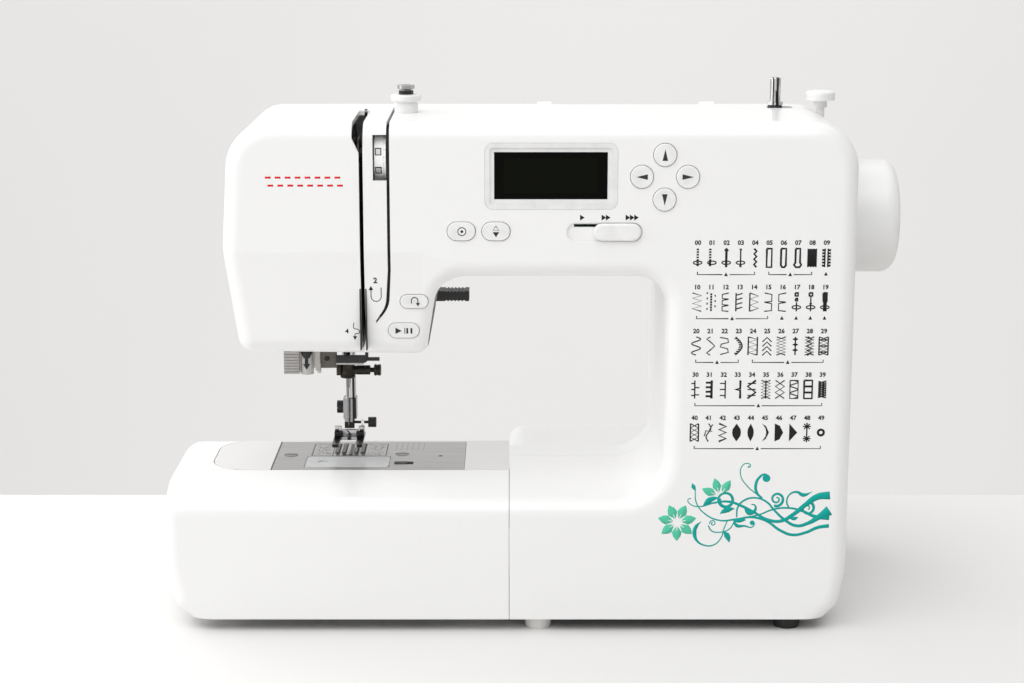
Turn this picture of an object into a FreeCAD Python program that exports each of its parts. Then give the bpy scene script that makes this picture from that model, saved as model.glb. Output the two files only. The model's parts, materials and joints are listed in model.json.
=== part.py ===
import FreeCAD, Part
import math
import os

V = FreeCAD.Vector

# Overall sizes, mm. X to the right, Y to the back, Z up; origin in the middle of the footprint.
FRONT_Y = -89.0
ARM_BACK = 31.0
COLUMN_BACK = 62.0
BASE_BACK = 91.0
HEAD_TOP = 278.5
BED_TOP = 74.5
TABLE_LEFT = -202.0
WHEEL_RIGHT = 204.0
COLUMN_RIGHT = 170.0
HEAD_LEFT = -161.5
THROAT_RIGHT = 69.5
THROAT_LEFT = -49.0
SEAM_X = -13.8
FOOT_H = 7.0
TAPER_Z = 34.0
TAPER_IN = 3.6
CORNER_Z = 14.0
CORNER_R = 12.0
BELOW = -20.0

# Heights that hang from the top of the arm.
ARM_UNDER = HEAD_TOP - 82.1
CREASE_Z = HEAD_TOP - 68.1
HEAD_BOTTOM = HEAD_TOP - 124.5
SHAFT_Z = HEAD_TOP - 62.9
SHAFT_Y = 4.0

# Walls, roundings and clearances.
WALL = 2.6
EDGE_R = 9.0
REAR_R = 7.0
TOP_REAR_R = 24.0
GAP = 0.3
FREE = 0.4
RUN = 0.05
TILT = math.tan(math.radians(8))
LEAN_BACK_Y = -20.0
SPLIT_Y = 2.0
SLOT_L = -91.4
SLOT_L_W = 2.1
SLOT_R = -77.2
SLOT_R_W = 1.6

# Free arm and needle plate.
ARM_LEFT = -184.0
ARM_FRONT = -27.4
ARM_REAR = 36.0
ARM_FLOOR = 20.0
PLATE_L = -149.6
PLATE_R = -39.6
PLATE_BACK = 33.0
PLATE_T = 2.0
ARM_ROOF = 5.0
ARM_CORNER_R = 20.0
PLATE_SCREWS = ((-141.0, 4.0), (-76.4, 6.0))
FEED_ROWS = (-114.6, -110.6, -103.8, -99.8)
FEED_TOP = BED_TOP + 0.6
COVER_L = -131.0
COVER_R = -83.0
COVER_F = -22.0
COVER_B = 0.0
RELEASE_X = -73.5
DROP_X = -70.0

# Extension table and its lid.
FLARE = 0.09
TABLE_TAPER_Z = 38.0
TABLE_TAPER_IN = 6.0
TABLE_CORNER_Z = 13.5
TABLE_SLOPE = 1.2
TABLE_REAR_R = 14.0
LID_BACK = ARM_FRONT - 0.6
LID_WALL = 2.4
HINGE_Y = FRONT_Y + 5
HINGE_Z = FOOT_H + 5
LUGS = (-170.0, -40.0)
PIN_R = 1.1

# Rubber feet.
FOOT_LEFT = 2.0
FOOT_RIGHT = 139.0
FOOT_IN = 11.0
FOOT_STEM_R = 2.5

# Sewing parts.
NEEDLE_X = -107.2
NEEDLE_Y = 4.0
PRESSER_X = -106.2
PRESSER_Y = 13.0
NEEDLE_R = 3.2
PRESSER_R = 2.9
CLAMP_Z = BED_TOP + 46.5
NEEDLE_TIP = BED_TOP + 17.5
SOLE_Z = BED_TOP + 8.5
HOOK_X = -107.2
HOOK_Y = -11.0
HOOK_R = 13.3
BOBBIN_R = 10.15
LOWER_Y = 8.0
LOWER_Z = 34.0
LOWER_R = 3.5
LIFTER_X = -92.0
LIFTER_Z = HEAD_BOTTOM + 14
LIFTER_R = 5.0
SHAFT_R = 4.0

# Hand wheel, motor and belts.
WHEEL_R = 31.9
WHEEL_W = 27.0
MOTOR_Y = 52.0
MOTOR_Z = 40.0
MOTOR_R = 20.0
BELT_X = 108.0
BELT_W = 5.0
BELT_T = 1.4
BIG_PULLEY_R = 15.0
SMALL_PULLEY_R = 6.0
TIMING_X = 122.0
TIMING_R = 11.0

# Controls: centre X, height below the top, width, height.
KEY_R = 6.0
LIP = 1.2
KEYS = {"key_left": (55.5, 28.0), "key_right": (79.6, 28.0), "key_up": (67.5, 16.5), "key_down": (67.5, 40.0)}
PILLS = {
    "lock_button": (-39.0, 56.8, 14.8, 9.7),
    "needle_button": (-20.8, 56.8, 14.8, 9.7),
    "reverse_button": (-64.3, 95.1, 14.8, 7.6),
    "start_button": (-70.1, 111.3, 16.4, 8.2),
}
DISPLAY_X = 8.15
DISPLAY_DROP = 27.8
DISPLAY_W = 69.5
DISPLAY_H = 35.0
DISPLAY_R = 4.5
SLIDER_X = 36.2
SLIDER_DROP = 57.2
GROOVE_W = 40.0
GROOVE_H = 10.0
SLOT_UP = 3.3
DIAL_X0 = -84.7
DIAL_X1 = -78.3
DIAL_R = 14.5
DIAL_DROP = 18.1

# Top fittings.
WINDER_X = 133.8
WINDER_Y = -9.0
STOP_X = 159.0
GUIDE_X = -69.9
GUIDE_Y = -35.0
HANDLE_X0 = 2.0
HANDLE_X1 = 102.0
HANDLE_Y = 16.0
HANDLE_DROP = 8.5
HANDLE_R = 9.0
HANDLE_PIN_R = 3.0
GRIP_R = 5.5
SPOOL_X = 120.0
SPOOL_Y = COLUMN_BACK - 18
SPOOL_Z = HEAD_TOP - 72
SPOOL_PIN_R = 3.1
SPOOL_SHANK_R = 2.6


def box(x0, x1, y0, y1, z0, z1):
    return Part.makeBox(x1 - x0, y1 - y0, z1 - z0, V(x0, y0, z0))


def cyl_x(x0, x1, y, z, r):
    return Part.makeCylinder(r, x1 - x0, V(x0, y, z), V(1, 0, 0))


def cyl_y(y0, y1, x, z, r):
    return Part.makeCylinder(r, y1 - y0, V(x, y0, z), V(0, 1, 0))


def cyl_z(z0, z1, x, y, r):
    return Part.makeCylinder(r, z1 - z0, V(x, y, z0), V(0, 0, 1))


def cone_z(z0, z1, x, y, r0, r1):
    return Part.makeCone(r0, r1, z1 - z0, V(x, y, z0), V(0, 0, 1))


def fuse(shapes):
    result = shapes[0]
    if len(shapes) > 1:
        result = shapes[0].fuse(shapes[1:])
    return result.removeSplitter()


def corner_arc(points, i, y):
    x, z, r = points[i]
    before = points[i - 1]
    after = points[(i + 1) % len(points)]
    p = V(x, y, z)
    if r <= 0:
        return p, None, p
    u = V(before[0], y, before[1]) - p
    v = V(after[0], y, after[1]) - p
    u.normalize()
    v.normalize()
    half = u.getAngle(v) / 2
    reach = r / math.tan(half)
    way = u + v
    way.normalize()
    centre = p + way * (r / math.sin(half))
    return p + u * reach, centre - way * r, p + v * reach


def rounded(points, y):
    arcs = [corner_arc(points, i, y) for i in range(len(points))]
    edges = []
    for i, (start, middle, end) in enumerate(arcs):
        if middle is not None:
            edges.append(Part.Arc(start, middle, end).toShape())
        following = arcs[(i + 1) % len(arcs)][0]
        if (following - end).Length > 1e-6:
            edges.append(Part.LineSegment(end, following).toShape())
    return Part.Wire(edges)


def prism_y(points, y0, y1):
    return Part.Face(rounded(points, y0)).extrude(V(0, y1 - y0, 0))


def prism_x(points, x0, x1):
    # points are (y, z, r), drawn in the plane X = x0
    turned = prism_y(points, 0, x1 - x0)
    turned.rotate(V(0, 0, 0), V(0, 0, 1), -90)
    flipped = turned.mirror(V(0, 0, 0), V(0, 1, 0))
    flipped.translate(V(x0, 0, 0))
    return flipped


def prism_z(points, z0, z1):
    # points are (x, y, r)
    flat = prism_y([(x, -y, r) for x, y, r in points], 0, z1 - z0)
    flat.rotate(V(0, 0, 0), V(1, 0, 0), 90)
    flat.translate(V(0, 0, z0))
    return flat


def link_x(x0, x1, a, b):
    # outline round two circles (y, z, r), along X
    (ya, za, ra), (yb, zb, rb) = a, b
    gap = math.hypot(yb - ya, zb - za)
    along = math.atan2(zb - za, yb - ya)
    lean = math.acos((ra - rb) / gap)
    parts = [cyl_x(x0, x1, ya, za, ra), cyl_x(x0, x1, yb, zb, rb)]
    corners = []
    for angle, (y, z, r) in ((along + lean, a), (along + lean, b), (along - lean, b), (along - lean, a)):
        corners.append(V(x0, y + r * math.cos(angle), z + r * math.sin(angle)))
    web = Part.Face(Part.makePolygon(corners + [corners[0]])).extrude(V(x1 - x0, 0, 0))
    return fuse([web] + parts)


def belt(x0, x1, a, b, thick):
    (ya, za, ra), (yb, zb, rb) = a, b
    outer = link_x(x0, x1, (ya, za, ra + thick), (yb, zb, rb + thick))
    return outer.cut(link_x(x0 - 1, x1 + 1, a, b))


def pill_y(x, z, w, h, y0, y1):
    r = h / 2
    half = w / 2 - r
    middle = box(x - half, x + half, y0, y1, z - r, z + r)
    return fuse([middle, cyl_y(y0, y1, x - half, z, r), cyl_y(y0, y1, x + half, z, r)])


def face_edges(shape, side):
    # edges that bound one flat face looking along side * Y
    found = []
    for edge in shape.Edges:
        count = 0
        for face in shape.ancestorsOfType(edge, Part.Face):
            u0, u1, v0, v1 = face.ParameterRange
            if face.normalAt((u0 + u1) / 2, (v0 + v1) / 2).y * side > 0.9:
                count += 1
        if count == 1:
            found.append(edge)
    return found


def lean_back(shape):
    # below the crease the head leans back; the lean fades out along the arm's lower edge
    x_a, x_b, z_b = THROAT_LEFT - 11, THROAT_LEFT + 19, ARM_UNDER
    low = HEAD_BOTTOM - 60
    left = box(-400, x_a, -200, 200, low, CREASE_Z)
    corner = [(x_a, CREASE_Z, 0), (x_b, z_b, 0), (x_b, low, 0), (x_a, low, 0)]
    right = prism_y(corner, -200, 200)
    slope = (z_b - CREASE_Z) / (x_b - x_a)
    still = box(-400, 400, -200, 200, -100, HEAD_TOP + 100).cut([left, right])
    ahead = box(-401, 401, -201, LEAN_BACK_Y, -101, HEAD_TOP + 101)
    parts = [shape.common(still), shape.cut(still).cut(ahead)]
    for region, grade, height in ((left, 0, CREASE_Z), (right, slope, CREASE_Z - slope * x_a)):
        matrix = FreeCAD.Matrix()
        matrix.A21 = TILT * grade
        matrix.A23 = -TILT
        matrix.A24 = TILT * height
        parts.append(shape.common(region.common(ahead)).transformGeometry(matrix))
    return fuse([p for p in parts if not p.isNull() and p.Volume > 1e-6])


def right_side(i):
    # the right-hand side tapers in and turns under; it runs on below the floor and is trimmed later
    x = COLUMN_RIGHT - TAPER_IN - i
    z = CORNER_Z + 0.4 * i
    return [(COLUMN_RIGHT - i, TAPER_Z, 60), (x, z, CORNER_R), (x - (z - BELOW), BELOW, 0)]


def body_outline(inset):
    i = inset
    return [
        (HEAD_LEFT + 3 + i, HEAD_BOTTOM + i, 8 - i / 2),
        (HEAD_LEFT - 4.3 + i, CREASE_Z, 60),
        (HEAD_LEFT + i, HEAD_TOP - i, 25 - i),
        (COLUMN_RIGHT - i, HEAD_TOP - i, 25 - i),
        *right_side(i),
        (SEAM_X + i, BELOW, 0),
        (SEAM_X + i, BED_TOP - i, 0),
        (THROAT_RIGHT + i, BED_TOP - i, 24 + i),
        (THROAT_RIGHT + i, ARM_UNDER + i, 16 + i),
        (THROAT_LEFT + i, ARM_UNDER + i, 15 + i),
        (THROAT_LEFT - 8.5 + i * 0.4, HEAD_BOTTOM - 1.5 + i, 9 - i),
    ]


def rounded_block(outline, y0, y1, edge, rear):
    block = prism_y(outline, y0, y1)
    front = []
    for e in face_edges(block, -1):
        b = e.BoundBox
        upright = b.XMax - b.XMin < 1e-3 and b.ZMax < BED_TOP + 1
        on_seam = upright and ARM_LEFT < b.XMin < SEAM_X + 2 * WALL
        if b.ZMax > FOOT_H + 1 and not on_seam:
            front.append(e)
    block = block.makeFillet(edge, front).Solids[0]
    back = [e for e in face_edges(block,
            1) if e.BoundBox.XMax < THROAT_LEFT and e.BoundBox.ZMin < HEAD_TOP - 30]
    return block.makeFillet(rear, back).Solids[0]


def top_rear_corner(y, z, r):
    corner = box(-400, 400, y - r, y + 20, z - r, z + 20)
    return corner.cut(cyl_x(-401, 401, y - r, z - r, r))


def body_solid(inset):
    i = inset
    arm = rounded_block(body_outline(i), FRONT_Y + i, ARM_BACK - i, EDGE_R - i, REAR_R - i)
    arm = arm.cut(top_rear_corner(ARM_BACK - i, HEAD_TOP - i, TOP_REAR_R - i))
    arm = lean_back(arm)
    block_top = HEAD_TOP - 72 - i
    column = prism_y([
        (THROAT_RIGHT + i, BELOW, 0),
        *reversed(right_side(i)),
        (COLUMN_RIGHT - i, block_top, 25 - i),
        (THROAT_RIGHT + i, block_top, 16 - i),
    ], 0, COLUMN_BACK - i)
    base = prism_x([
        (0, BELOW, 0),
        (BASE_BACK - i, BELOW, 0),
        (BASE_BACK - i, BED_TOP - i, 22 - i),
        (0, BED_TOP - i, 0),
    ], SEAM_X + i, COLUMN_RIGHT - i)
    side = prism_y([(SEAM_X - 50, BELOW, 0), *reversed(right_side(i)), (COLUMN_RIGHT - i, HEAD_TOP, 0),
                    (SEAM_X - 50, HEAD_TOP, 0)], -200, 200)
    return fuse([arm, soften(column, 1, 12 - i), soften_base(base, 9 - i).common(side)])


def soften(shape, side, r):
    edges = [e for e in face_edges(shape, side) if e.BoundBox.ZMax > FOOT_H + 1]
    return shape.makeFillet(r, edges).Solids[0]


def soften_base(shape, r):
    edges = []
    for e in shape.Edges:
        b = e.BoundBox
        upright = b.ZMax - b.ZMin > 20 and b.XMax - b.XMin < 1e-3 and b.YMax - b.YMin < 1e-3
        if upright and b.YMin > BASE_BACK - 8:
            edges.append(e)
    return shape.makeFillet(r, edges).Solids[0]


def handle_pocket(margin):
    # margin 0 is the pocket itself, WALL is the pocket with its lining
    m = margin
    high = HEAD_TOP - 40
    deep = HEAD_TOP - 66.5
    upper = box(HANDLE_X0 - GAP - m, HANDLE_X1 + GAP + m, HANDLE_Y - HANDLE_R - 0.8 - m, 60, high - m,
            HEAD_TOP + 30)
    lower = box(HANDLE_X0 - GAP - m, HANDLE_X1 + GAP + m, HANDLE_Y - 2 - m, 60, deep - m, high + 1)
    return upper.fuse(lower)


def display_prism(grow, y0, y1):
    x0, x1 = DISPLAY_X - DISPLAY_W / 2 - grow, DISPLAY_X + DISPLAY_W / 2 + grow
    z = HEAD_TOP - DISPLAY_DROP
    z0, z1 = z - DISPLAY_H / 2 - grow, z + DISPLAY_H / 2 + grow
    r = DISPLAY_R + grow
    return prism_y([(x0, z0, r), (x1, z0, r), (x1, z1, r), (x0, z1, r)], y0, y1)


def control_holes():
    top = HEAD_TOP
    holes = [display_prism(0.1, FRONT_Y - 9, FRONT_Y + 9)]
    for x, drop in KEYS.values():
        holes.append(cyl_y(FRONT_Y - 9, FRONT_Y + 9, x, top - drop, KEY_R + GAP))
    for x, drop, w, h in PILLS.values():
        holes.append(pill_y(x, top - drop, w + 2 * GAP, h + 2 * GAP, FRONT_Y - 9, FRONT_Y + 14))
    z = top - SLIDER_DROP
    holes.append(pill_y(SLIDER_X, z, GROOVE_W, GROOVE_H, FRONT_Y - 9, FRONT_Y + 1.2))
    z = z + SLOT_UP
    holes.append(box(SLIDER_X - 16, SLIDER_X + 16, FRONT_Y - 9, FRONT_Y + 9, z - 0.8, z + 0.8))
    holes.append(box(DIAL_X0 - FREE, DIAL_X1 + FREE, FRONT_Y - 9, FRONT_Y + 9, top - 30.1, top - 6.0 - 0.1))
    return holes


def slot_cuts():
    right_end = HEAD_BOTTOM + 18
    left = box(SLOT_L - SLOT_L_W / 2, SLOT_L + SLOT_L_W / 2, FRONT_Y - 9, GUIDE_Y + 8, HEAD_BOTTOM - 9,
            HEAD_TOP + 9)
    drop_points = [(-96, HEAD_TOP + 9, 0), (-89.8, HEAD_TOP + 9, 0), (-90.4, HEAD_TOP - 20, 0), (-96,
            HEAD_TOP - 8, 3)]
    mouth = prism_y([(x, z, r) for x, z, r in drop_points], FRONT_Y - 9, GUIDE_Y + 8)
    right = box(SLOT_R - SLOT_R_W / 2, SLOT_R + SLOT_R_W / 2, FRONT_Y - 9, SPLIT_Y - 4, CREASE_Z - 10,
            HEAD_TOP + 9)
    tail = prism_y([
        (SLOT_R - SLOT_R_W / 2, CREASE_Z - 9.9, 0),
        (SLOT_R + SLOT_R_W / 2, CREASE_Z - 9.9, 0),
        (SLOT_R - 0.4, right_end + 8, 16),
        (DIAL_X0, right_end - 0.8, 0),
        (DIAL_X0, right_end + 0.8, 0),
        (SLOT_R - 2.2, right_end + 8.6, 14),
    ], FRONT_Y - 9, FRONT_Y + 20)
    return left, mouth, right.fuse(tail)


def shell():
    skin = body_solid(0).cut(body_solid(WALL)).cut(box(-400, 400, -200, 200, BELOW - 1, FOOT_H))
    wall_hole = box(SEAM_X - 5, SEAM_X + 5, ARM_FRONT + WALL, ARM_REAR - WALL, ARM_FLOOR + WALL,
            BED_TOP - ARM_ROOF)
    return skin.cut(wall_hole)


def cover_parts():
    skin = shell()
    left, mouth, right = slot_cuts()
    mouth_floor = box(-146, SLOT_L - SLOT_L_W / 2 - 1.2, -24, ARM_BACK - 4, HEAD_BOTTOM - 9, HEAD_BOTTOM + 9)
    openings = control_holes() + [mouth, mouth_floor]
    openings.append(cyl_x(COLUMN_RIGHT - 9, COLUMN_RIGHT + 9, SHAFT_Y, SHAFT_Z, SHAFT_R + 3))
    openings.append(cyl_z(HEAD_TOP - 9, HEAD_TOP + 9, GUIDE_X, GUIDE_Y, 3.0))
    openings.append(cyl_z(HEAD_TOP - 9, HEAD_TOP + 9, STOP_X, WINDER_Y, 2.5))
    openings.append(box(WINDER_X - 4.5, WINDER_X + 9.5, WINDER_Y - 4.5, WINDER_Y + 4.5, HEAD_TOP - 9,
            HEAD_TOP + 9))
    ahead = box(-400, 400, -200, SPLIT_Y - GAP / 2, -50, 500)
    behind = box(-400, 400, SPLIT_Y + GAP / 2, 200, -50, 500)
    front = skin.common(ahead).cut(left.fuse(right).fuse(openings))
    west = box(-400, SLOT_L, -200, 200, HEAD_BOTTOM - 50, HEAD_TOP + 50)
    face = biggest(front.common(west))
    main = biggest(front.cut(west))
    rear = skin.common(behind).cut(openings)
    return main, face, rear_details(biggest(rear))


def biggest(shape):
    return max(shape.Solids, key=lambda s: s.Volume)


def rear_details(rear):
    lining = handle_pocket(WALL).common(body_solid(0)).cut(box(-400, 400, -200, SPLIT_Y + GAP / 2, 0, 500))
    rear = rear.fuse(lining).cut(handle_pocket(0))
    pivot_z = HEAD_TOP - HANDLE_DROP
    rear = rear.cut(cyl_x(HANDLE_X0 - GAP - WALL, HANDLE_X1 + GAP + WALL, HANDLE_Y, pivot_z,
                          HANDLE_PIN_R + RUN))
    rear = rear.cut(cyl_y(ARM_BACK - 9, ARM_BACK + 9, LIFTER_X, LIFTER_Z, LIFTER_R + GAP))
    for n in range(8):
        z = BED_TOP + 36 + 9 * n
        rear = rear.cut(box(THROAT_RIGHT + 25, COLUMN_RIGHT - 25, COLUMN_BACK - 9, COLUMN_BACK + 9, z,
                z + 3.5))
    rear = rear.cut(box(COLUMN_RIGHT - 12, COLUMN_RIGHT + 9, 18, 58, 20, 62))
    rear = rear.cut(cyl_z(SPOOL_Z - 18, SPOOL_Z + 12, SPOOL_X, SPOOL_Y, SPOOL_SHANK_R + RUN))
    return biggest(rear.removeSplitter())


def arm_block(grow, right, z0, z1):
    # the free arm seen from above, its outline moved out by grow
    left, front, back, r = ARM_LEFT - grow, ARM_FRONT - grow, ARM_REAR + grow, ARM_CORNER_R + grow
    return prism_z([(left, front, r), (right, front, 0), (right, back, 0), (left, back, r)], z0, z1)


def free_arm_cover():
    right = SEAM_X - GAP
    arm = arm_block(0, right, ARM_FLOOR, BED_TOP)
    arm = arm.cut(arm_block(-WALL, right + 6, ARM_FLOOR + WALL, BED_TOP - ARM_ROOF))
    seat = BED_TOP - PLATE_T - 0.05
    arm = arm.cut(box(PLATE_L - 0.2, PLATE_R + 0.2, ARM_FRONT - 1, PLATE_BACK + 0.2, seat, BED_TOP + 9))
    arm = arm.cut(box(PLATE_L + 3, PLATE_R - 3, ARM_FRONT + WALL, PLATE_BACK - 3, ARM_FLOOR + 9, BED_TOP + 9))
    arm = arm.cut(box(DROP_X - 9, DROP_X + 21, ARM_REAR - 9, ARM_REAR + 9, 33, 39))
    return arm.removeSplitter()


def base_plate():
    y0 = FRONT_Y + WALL + 0.2
    y1 = BASE_BACK - WALL - 0.2
    x1 = COLUMN_RIGHT - TAPER_IN - (CORNER_Z - FOOT_H) - 1.45 * WALL - 1.2
    plate = prism_z([(SEAM_X + WALL + 0.2, y0, 6), (x1, y0, 6), (x1, y1, 6), (SEAM_X + WALL + 0.2, y1, 6)],
                    FOOT_H + 0.4, FOOT_H + 3.4)
    for n in range(6):
        x = 62 + 9 * n
        plate = plate.cut(box(x, x + 4, -20, 20, 0, 20))
    for x, y in foot_places():
        plate = plate.cut(cyl_z(0, 20, x, y, FOOT_STEM_R + 0.1))
    return plate


def foot_places():
    rows = (FRONT_Y + FOOT_IN, BASE_BACK - 14)
    return [(x, y) for y in rows for x in (FOOT_RIGHT, FOOT_LEFT)]


def rubber_feet():
    feet = []
    for x, y in foot_places():
        pad = cone_z(0, FOOT_H + 0.3, x, y, 6.8, 8)
        feet.append(pad.fuse(cyl_z(FOOT_H + 0.2, FOOT_H + 4.6, x, y, FOOT_STEM_R)))
    return Part.makeCompound(feet)


def main_frame():
    beam_z = ARM_UNDER + WALL + 2.1
    parts = [
        box(-150, 146, -14, 27, beam_z, beam_z + 4.4),
        box(86, 100, -14, 22, 15, beam_z + 1),
        box(132, 146, -14, 18, 15, beam_z + 1),
        box(SEAM_X + 4, 146, -14, 18, FOOT_H + 7, FOOT_H + 13),
        box(-152, 60, 24, 29, 24, 59),
        box(40, 60, -14, 29, FOOT_H + 7, 62),
    ]
    for x in (-70, 30, 136):
        parts.append(box(x, x + 9, -6, 10.8, beam_z + 1, SHAFT_Z + 9))
    for x in (-92, 46):
        parts.append(box(x, x + 8, -3, 26, 24, LOWER_Z + 8))
    parts.append(box(NEEDLE_X - 9, NEEDLE_X + 9, -5, 22, SHAFT_Z + 18, SHAFT_Z + 27))
    parts.append(box(NEEDLE_X - 9, NEEDLE_X + 9, 17, 22, HEAD_BOTTOM + 9, SHAFT_Z + 20))
    parts.append(box(NEEDLE_X - 9, NEEDLE_X + 9, -5, 22, HEAD_BOTTOM + 9, HEAD_BOTTOM + 17))
    frame = fuse(parts)
    frame = frame.cut(box(NEEDLE_X - 9.5, NEEDLE_X + 9.5, -20, 17.4, HEAD_BOTTOM + 17, SHAFT_Z + 18))
    frame = frame.cut(box(NEEDLE_X, -81, -20, 22.4, beam_z - 1, beam_z + 9))
    frame = frame.cut(box(104, 131, -20, 24.9, beam_z - 1, beam_z + 9))
    frame = frame.cut(cyl_x(-400, 400, SHAFT_Y, SHAFT_Z, SHAFT_R + RUN))
    frame = frame.cut(cyl_x(-400, 110, LOWER_Y, LOWER_Z, LOWER_R + RUN))
    frame = frame.cut(cyl_z(0, 400, NEEDLE_X, NEEDLE_Y, NEEDLE_R + RUN))
    frame = frame.cut(cyl_z(0, 400, PRESSER_X, PRESSER_Y, PRESSER_R + RUN))
    frame = frame.cut(box(-400, -84, 16.9, 40, LIFTER_Z - 9, LIFTER_Z + 26))
    return biggest(frame)


def display_parts():
    z = HEAD_TOP - DISPLAY_DROP
    wx0, wx1, wz0, wz1 = DISPLAY_X - 29.9, DISPLAY_X + 29.5, z - 12.2, z + 12.7
    window = box(wx0, wx1, FRONT_Y - 1, FRONT_Y + 9, wz0, wz1)
    ring = display_prism(0, FRONT_Y, FRONT_Y + 3).cut(display_prism(-2.5, FRONT_Y - 1, FRONT_Y + 0.7))
    flange = display_prism(2.5, FRONT_Y + WALL + 0.2, FRONT_Y + WALL + 1.6)
    ring = ring.fuse(flange).cut(window)
    glass = box(wx0 + 0.1, wx1 - 0.1, FRONT_Y + 1.3, FRONT_Y + 2.8, wz0 + 0.1, wz1 - 0.1)
    return ring.removeSplitter(), glass


def control_board():
    z = HEAD_TOP - DISPLAY_DROP
    board_y = FRONT_Y + 10.5
    parts = [box(-48, 92, board_y, board_y + 1.6, z - 33, z + 17)]
    parts.append(box(DISPLAY_X - 33, DISPLAY_X + 33, FRONT_Y + 4.8, board_y, z - 15, z + 15))
    parts.append(box(20, 56, board_y + 1.6, board_y + 9, z - 10, z + 12))
    for x, drop in KEYS.values():
        parts.append(box(x - 3, x + 3, board_y - 2.2, board_y, HEAD_TOP - drop - 3, HEAD_TOP - drop + 3))
    for name in ("lock_button", "needle_button"):
        x, drop = PILLS[name][:2]
        parts.append(box(x - 3, x + 3, board_y - 2.2, board_y, HEAD_TOP - drop - 3, HEAD_TOP - drop + 3))
    return fuse(parts)


def key(x, drop):
    z = HEAD_TOP - drop
    cap = cyl_y(FRONT_Y - 0.9, FRONT_Y + 4, x, z, KEY_R)
    cap = cap.makeFillet(0.6, face_edges(cap, -1))
    lip = cyl_y(FRONT_Y + WALL + 0.4, FRONT_Y + WALL + 1.4, x, z, KEY_R + LIP)
    return fuse([cap, lip, cyl_y(FRONT_Y + 3, FRONT_Y + 6.8, x, z, 2)])


def pill(x, drop, w, h):
    z = HEAD_TOP - drop
    cap = pill_y(x, z, w, h, FRONT_Y - 0.9, FRONT_Y + 4)
    cap = cap.makeFillet(0.6, face_edges(cap, -1))
    lip = pill_y(x, z, w + 2 * LIP, h + 2 * LIP, FRONT_Y + WALL + 0.4, FRONT_Y + WALL + 1.4)
    whole = fuse([cap, lip, cyl_y(FRONT_Y + 3, FRONT_Y + 6.8, x, z, 2)])
    return lean_back(whole) if z < CREASE_Z else whole


def speed_slider():
    z = HEAD_TOP - SLIDER_DROP
    x = SLIDER_X + 6.8
    knob = pill_y(x, z, 25, GROOVE_H - 0.7, FRONT_Y - 2.0, FRONT_Y + 0.85)
    knob = knob.makeFillet(1.2, face_edges(knob, -1))
    z = z + SLOT_UP
    stem = box(x - 6, x + 6, FRONT_Y + 0.5, FRONT_Y + 4.2, z - 0.4, z + 0.4)
    return fuse([knob, stem, box(x - 7, x + 7, FRONT_Y + 4.0, FRONT_Y + 5.2, z - 4, z + 2)])


def tension_dial():
    z = HEAD_TOP - DIAL_DROP
    y = FRONT_Y + 2.2 + DIAL_R
    dial = cyl_x(DIAL_X0 + 0.1, DIAL_X1 - 0.1, y, z, DIAL_R)
    for n in range(24):
        turn = math.radians(15 * n)
        dial = dial.cut(cyl_x(DIAL_X1 - 1.4, DIAL_X1 + 1, y + DIAL_R * math.cos(turn),
                z + DIAL_R * math.sin(turn), 0.6))
    return dial.cut(cyl_x(DIAL_X0 - 1, DIAL_X1 + 1, y, z, 3 + RUN))


def tension_unit():
    z = HEAD_TOP - DIAL_DROP
    y = FRONT_Y + 2.2 + DIAL_R
    shaft = cyl_x(-99, -66, y, z, 3)
    discs = []
    for n in range(3):
        discs.append(cyl_x(-98 + 2.2 * n, -97.2 + 2.2 * n, y, z, 9))
    block = box(-71, -66, y - 8, y + 8, z - 10, z + 8)
    return fuse([shaft, block] + discs)


def needle_plate():
    z0 = BED_TOP - PLATE_T
    plate = box(PLATE_L, PLATE_R, ARM_FRONT, PLATE_BACK, z0, BED_TOP)
    cuts = [box(NEEDLE_X - 4.2, NEEDLE_X + 4.2, NEEDLE_Y - 0.9, NEEDLE_Y + 0.9, z0 - 1, BED_TOP + 1)]
    for x in FEED_ROWS:
        cuts.append(box(x - 1.3, x + 1.3, 7.5, 29, z0 - 1, BED_TOP + 1))
    cuts.append(box(COVER_L - GAP, COVER_R + GAP, COVER_F - GAP, COVER_B + GAP, z0 - 1, BED_TOP + 1))
    cuts.append(box(RELEASE_X - 6.5, RELEASE_X + 4.5, -16, -10.4, z0 - 1, BED_TOP + 1))
    for x, y in PLATE_SCREWS:
        cuts.append(cyl_z(z0 - 1, BED_TOP + 1, x, y, 2.1))
        cuts.append(cyl_z(BED_TOP - 1.2, BED_TOP + 1, x, y, 4.0))
    cuts.append(cyl_z(z0 - 1, BED_TOP + 1, -54, 2, 1.2))
    return plate.cut(cuts)


def plate_screws():
    screws = []
    for x, y in PLATE_SCREWS:
        head = cyl_z(BED_TOP - 1.15, BED_TOP + 0.2, x, y, 3.8)
        head = head.cut(box(x - 5, x + 5, y - 0.5, y + 0.5, BED_TOP - 0.5, BED_TOP + 1))
        screws.append(fuse([head, cyl_z(BED_TOP - 8, BED_TOP - 1, x, y, 1.9)]))
    return Part.makeCompound(screws)


def hook_cover():
    z0 = BED_TOP - PLATE_T
    cover = prism_z([(COVER_L, COVER_F, 2), (COVER_R, COVER_F, 2), (COVER_R, COVER_B, 2), (COVER_L,
            COVER_B, 2)],
                    z0 + 0.3, BED_TOP)
    return cover.cut(cyl_z(BED_TOP - 0.5, BED_TOP + 1, HOOK_X - 14, HOOK_Y, 3))


def cover_release():
    z0 = BED_TOP - PLATE_T
    button = box(RELEASE_X - 6.0, RELEASE_X + 1.0, -15.6, -10.8, z0 - 0.5, BED_TOP + 0.3)
    foot = box(RELEASE_X - 6.6, RELEASE_X + 2, -18, -8, z0 - 2.0, z0 - 0.4)
    return fuse([button, foot])


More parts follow.
